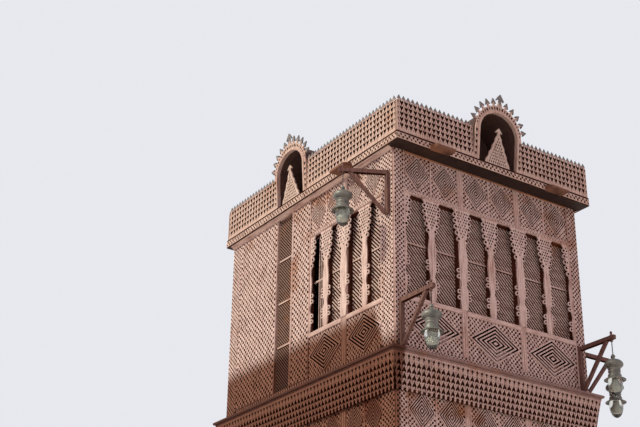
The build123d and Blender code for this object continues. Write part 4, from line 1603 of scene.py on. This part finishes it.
bell_profile = [
    (0.66, 0.396), (0.72, 0.34), (0.73, 0.28), (0.70, 0.21), (0.62, 0.135), (0.48, 0.065), (0.30, 0.02),
    (0.12, 0.0), (0.0, 0.0),
]
bulb_profile = [
    (0.0, 0.385), (0.14, 0.385), (0.15, 0.34), (0.17, 0.30), (0.28, 0.25), (0.32, 0.205), (0.28, 0.16),
    (0.16, 0.13), (0.0, 0.12),
]


def full_size(profile):
    """A profile given in shares of the lantern's radius and height, at its real size."""
    return [(radius * lantern_radius, height * lantern_height) for radius, height in profile]


ring = bmesh.new()
wire_end = Matrix.Translation((link_width / 2, 0, 0)) @ Matrix.Rotation(pi / 2, 4, "X")
bmesh.ops.create_circle(ring, segments=wire_sides, radius=chain_wire)
bmesh.ops.transform(ring, verts=ring.verts, matrix=wire_end)
bmesh.ops.spin(ring, geom=ring.verts[:] + ring.edges[:], cent=(0, 0, 0), axis=(0, 1, 0),
               angle=2 * pi, steps=link_steps, use_merge=True)
bmesh.ops.remove_doubles(ring, verts=ring.verts, dist=0.0001)
bmesh.ops.scale(ring, vec=(1, 1, link_length / link_width), verts=ring.verts)
bmesh.ops.recalc_face_normals(ring, faces=ring.faces)
link = keep_pattern(ring)
links = round(chain_drop / (link_length * link_overlap))
bell_outside = full_size(bell_profile)
bell_inside = [(max(0.0, x - glass_thickness), z + glass_thickness) for x, z in reversed(bell_outside)]
bell = bell_outside + [(0.0, glass_thickness)] + bell_inside[1:]
for bracket in brackets:
    hook = arm_place(bracket) @ Matrix.Translation((bracket_reach - tail, 0, arm_foot))
    for i in range(links):
        level = -(i + 0.5) * chain_drop / links
        place = hook @ Matrix.Translation((0, 0, level)) @ Matrix.Rotation(pi / 2 * (i % 2), 4, "Z")
        set_pattern(chains, link, place)
    base = hook @ Matrix.Translation((0, 0, -chain_drop - lantern_height))
    turned_shape(heads, full_size(head_profile), base, lantern_steps)
    turned_shape(glasses, bell, base, lantern_steps, False)
    turned_shape(bulbs, full_size(bulb_profile), base, bulb_steps)
made = finish_piece("chain_links", chains, "lantern_metal", lantern_metal)
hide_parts("lantern_chains")
made = finish_piece("lantern_caps", heads, "lantern_metal", lantern_metal)
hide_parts("lantern_heads")

lantern_glass, glass_tree, glass_shader = start_material("lantern_glass")
glass_shader.inputs["Base Color"].default_value = (0.93, 0.94, 0.90, 1)
glass_shader.inputs["IOR"].default_value = 1.45
glass_shader.inputs["Transmission Weight"].default_value = 1.0
glass_dust = mottle(glass_tree, place_on_object(glass_tree), 14.0)
glass_rough = calculate(glass_tree, "ADD", calculate(glass_tree, "MULTIPLY", glass_dust, 0.2), 0.02)
glass_tree.links.new(glass_rough, glass_shader.inputs["Roughness"])
made = finish_piece("lantern_bells", glasses, "lantern_glass", lantern_glass)
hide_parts("lantern_glasses")

bulb_glass, bulb_tree, bulb_shader = start_material("bulb_glass")
bulb_colour = blend_colours(
    bulb_tree, mottle(bulb_tree, place_on_object(bulb_tree), 20.0), (0.80, 0.76, 0.66, 1),
    (0.62, 0.57, 0.48, 1))
bulb_tree.links.new(bulb_colour, bulb_shader.inputs["Base Color"])
bulb_shader.inputs["Roughness"].default_value = 0.3
made = finish_piece("round_bulbs", bulbs, "bulb_glass", bulb_glass)
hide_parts("lantern_bulbs")

# Studio
# A pale floor that hides nothing when seen from below it, a pale backdrop, a low sun from the left and
# soft light all round.
floor_radius = 60.0
floor_colour = (0.78, 0.775, 0.77)
backdrop_colour = (0.80, 0.81, 0.86)
sky_light = (0.86, 0.745, 0.84)
sky_strength = 0.72
key_colour = (0.95, 1.0, 0.84)
key_strength = 3.1
key_softness = radians(9)
key_elevation = radians(38)
key_heading = radians(12)

studio_floor = bmesh.new()
bmesh.ops.create_circle(studio_floor, cap_ends=True, segments=64, radius=floor_radius)
bmesh.ops.recalc_face_normals(studio_floor, faces=studio_floor.faces)
floor_mesh = bpy.data.meshes.new("studio_floor")
studio_floor.to_mesh(floor_mesh)
studio_floor.free()
if floor_mesh.polygons[0].normal.z < 0:
    floor_mesh.flip_normals()
floor_object = bpy.data.objects.new("studio_floor", floor_mesh)
bpy.context.scene.collection.objects.link(floor_object)
floor_material, floor_tree, floor_shader = start_material("studio_floor")
floor_shader.inputs["Base Color"].default_value = opaque(floor_colour)
floor_shader.inputs["Roughness"].default_value = 0.9
from_below = add_node(floor_tree, "ShaderNodeNewGeometry").outputs["Backfacing"]
clear = floor_tree.nodes.new("ShaderNodeBsdfTransparent")
either = add_node(floor_tree, "ShaderNodeMixShader", {0: from_below})
floor_tree.links.new(floor_shader.outputs[0], either.inputs[1])
floor_tree.links.new(clear.outputs[0], either.inputs[2])
floor_tree.links.new(either.outputs[0], floor_tree.nodes["Material Output"].inputs["Surface"])
floor_mesh.materials.append(floor_material)

world = bpy.data.worlds.new("studio")
world.use_nodes = True
bpy.context.scene.world = world
sky = world.node_tree
seen = add_node(sky, "ShaderNodeBackground", {"Color": opaque(backdrop_colour), "Strength": 1.0})
lighting = add_node(sky, "ShaderNodeBackground", {"Color": opaque(sky_light), "Strength": sky_strength})
path = add_node(sky, "ShaderNodeLightPath").outputs
clear_view = calculate(sky, "MAXIMUM", path["Is Camera Ray"], path["Is Transmission Ray"])
clear_view = calculate(sky, "MAXIMUM", clear_view, path["Is Glossy Ray"])
choice = add_node(sky, "ShaderNodeMixShader", {0: clear_view})
sky.links.new(lighting.outputs[0], choice.inputs[1])
sky.links.new(seen.outputs[0], choice.inputs[2])
sky.links.new(choice.outputs[0], sky.nodes["World Output"].inputs["Surface"])

key = bpy.data.lights.new("key", "SUN")
key.energy = key_strength
key.color = key_colour
key.angle = key_softness
key_object = bpy.data.objects.new("key", key)
key_object.rotation_euler = (pi / 2 - key_elevation, 0, -pi / 2 - key_heading)
bpy.context.scene.collection.objects.link(key_object)
bpy.context.scene.view_settings.view_transform = "Standard"
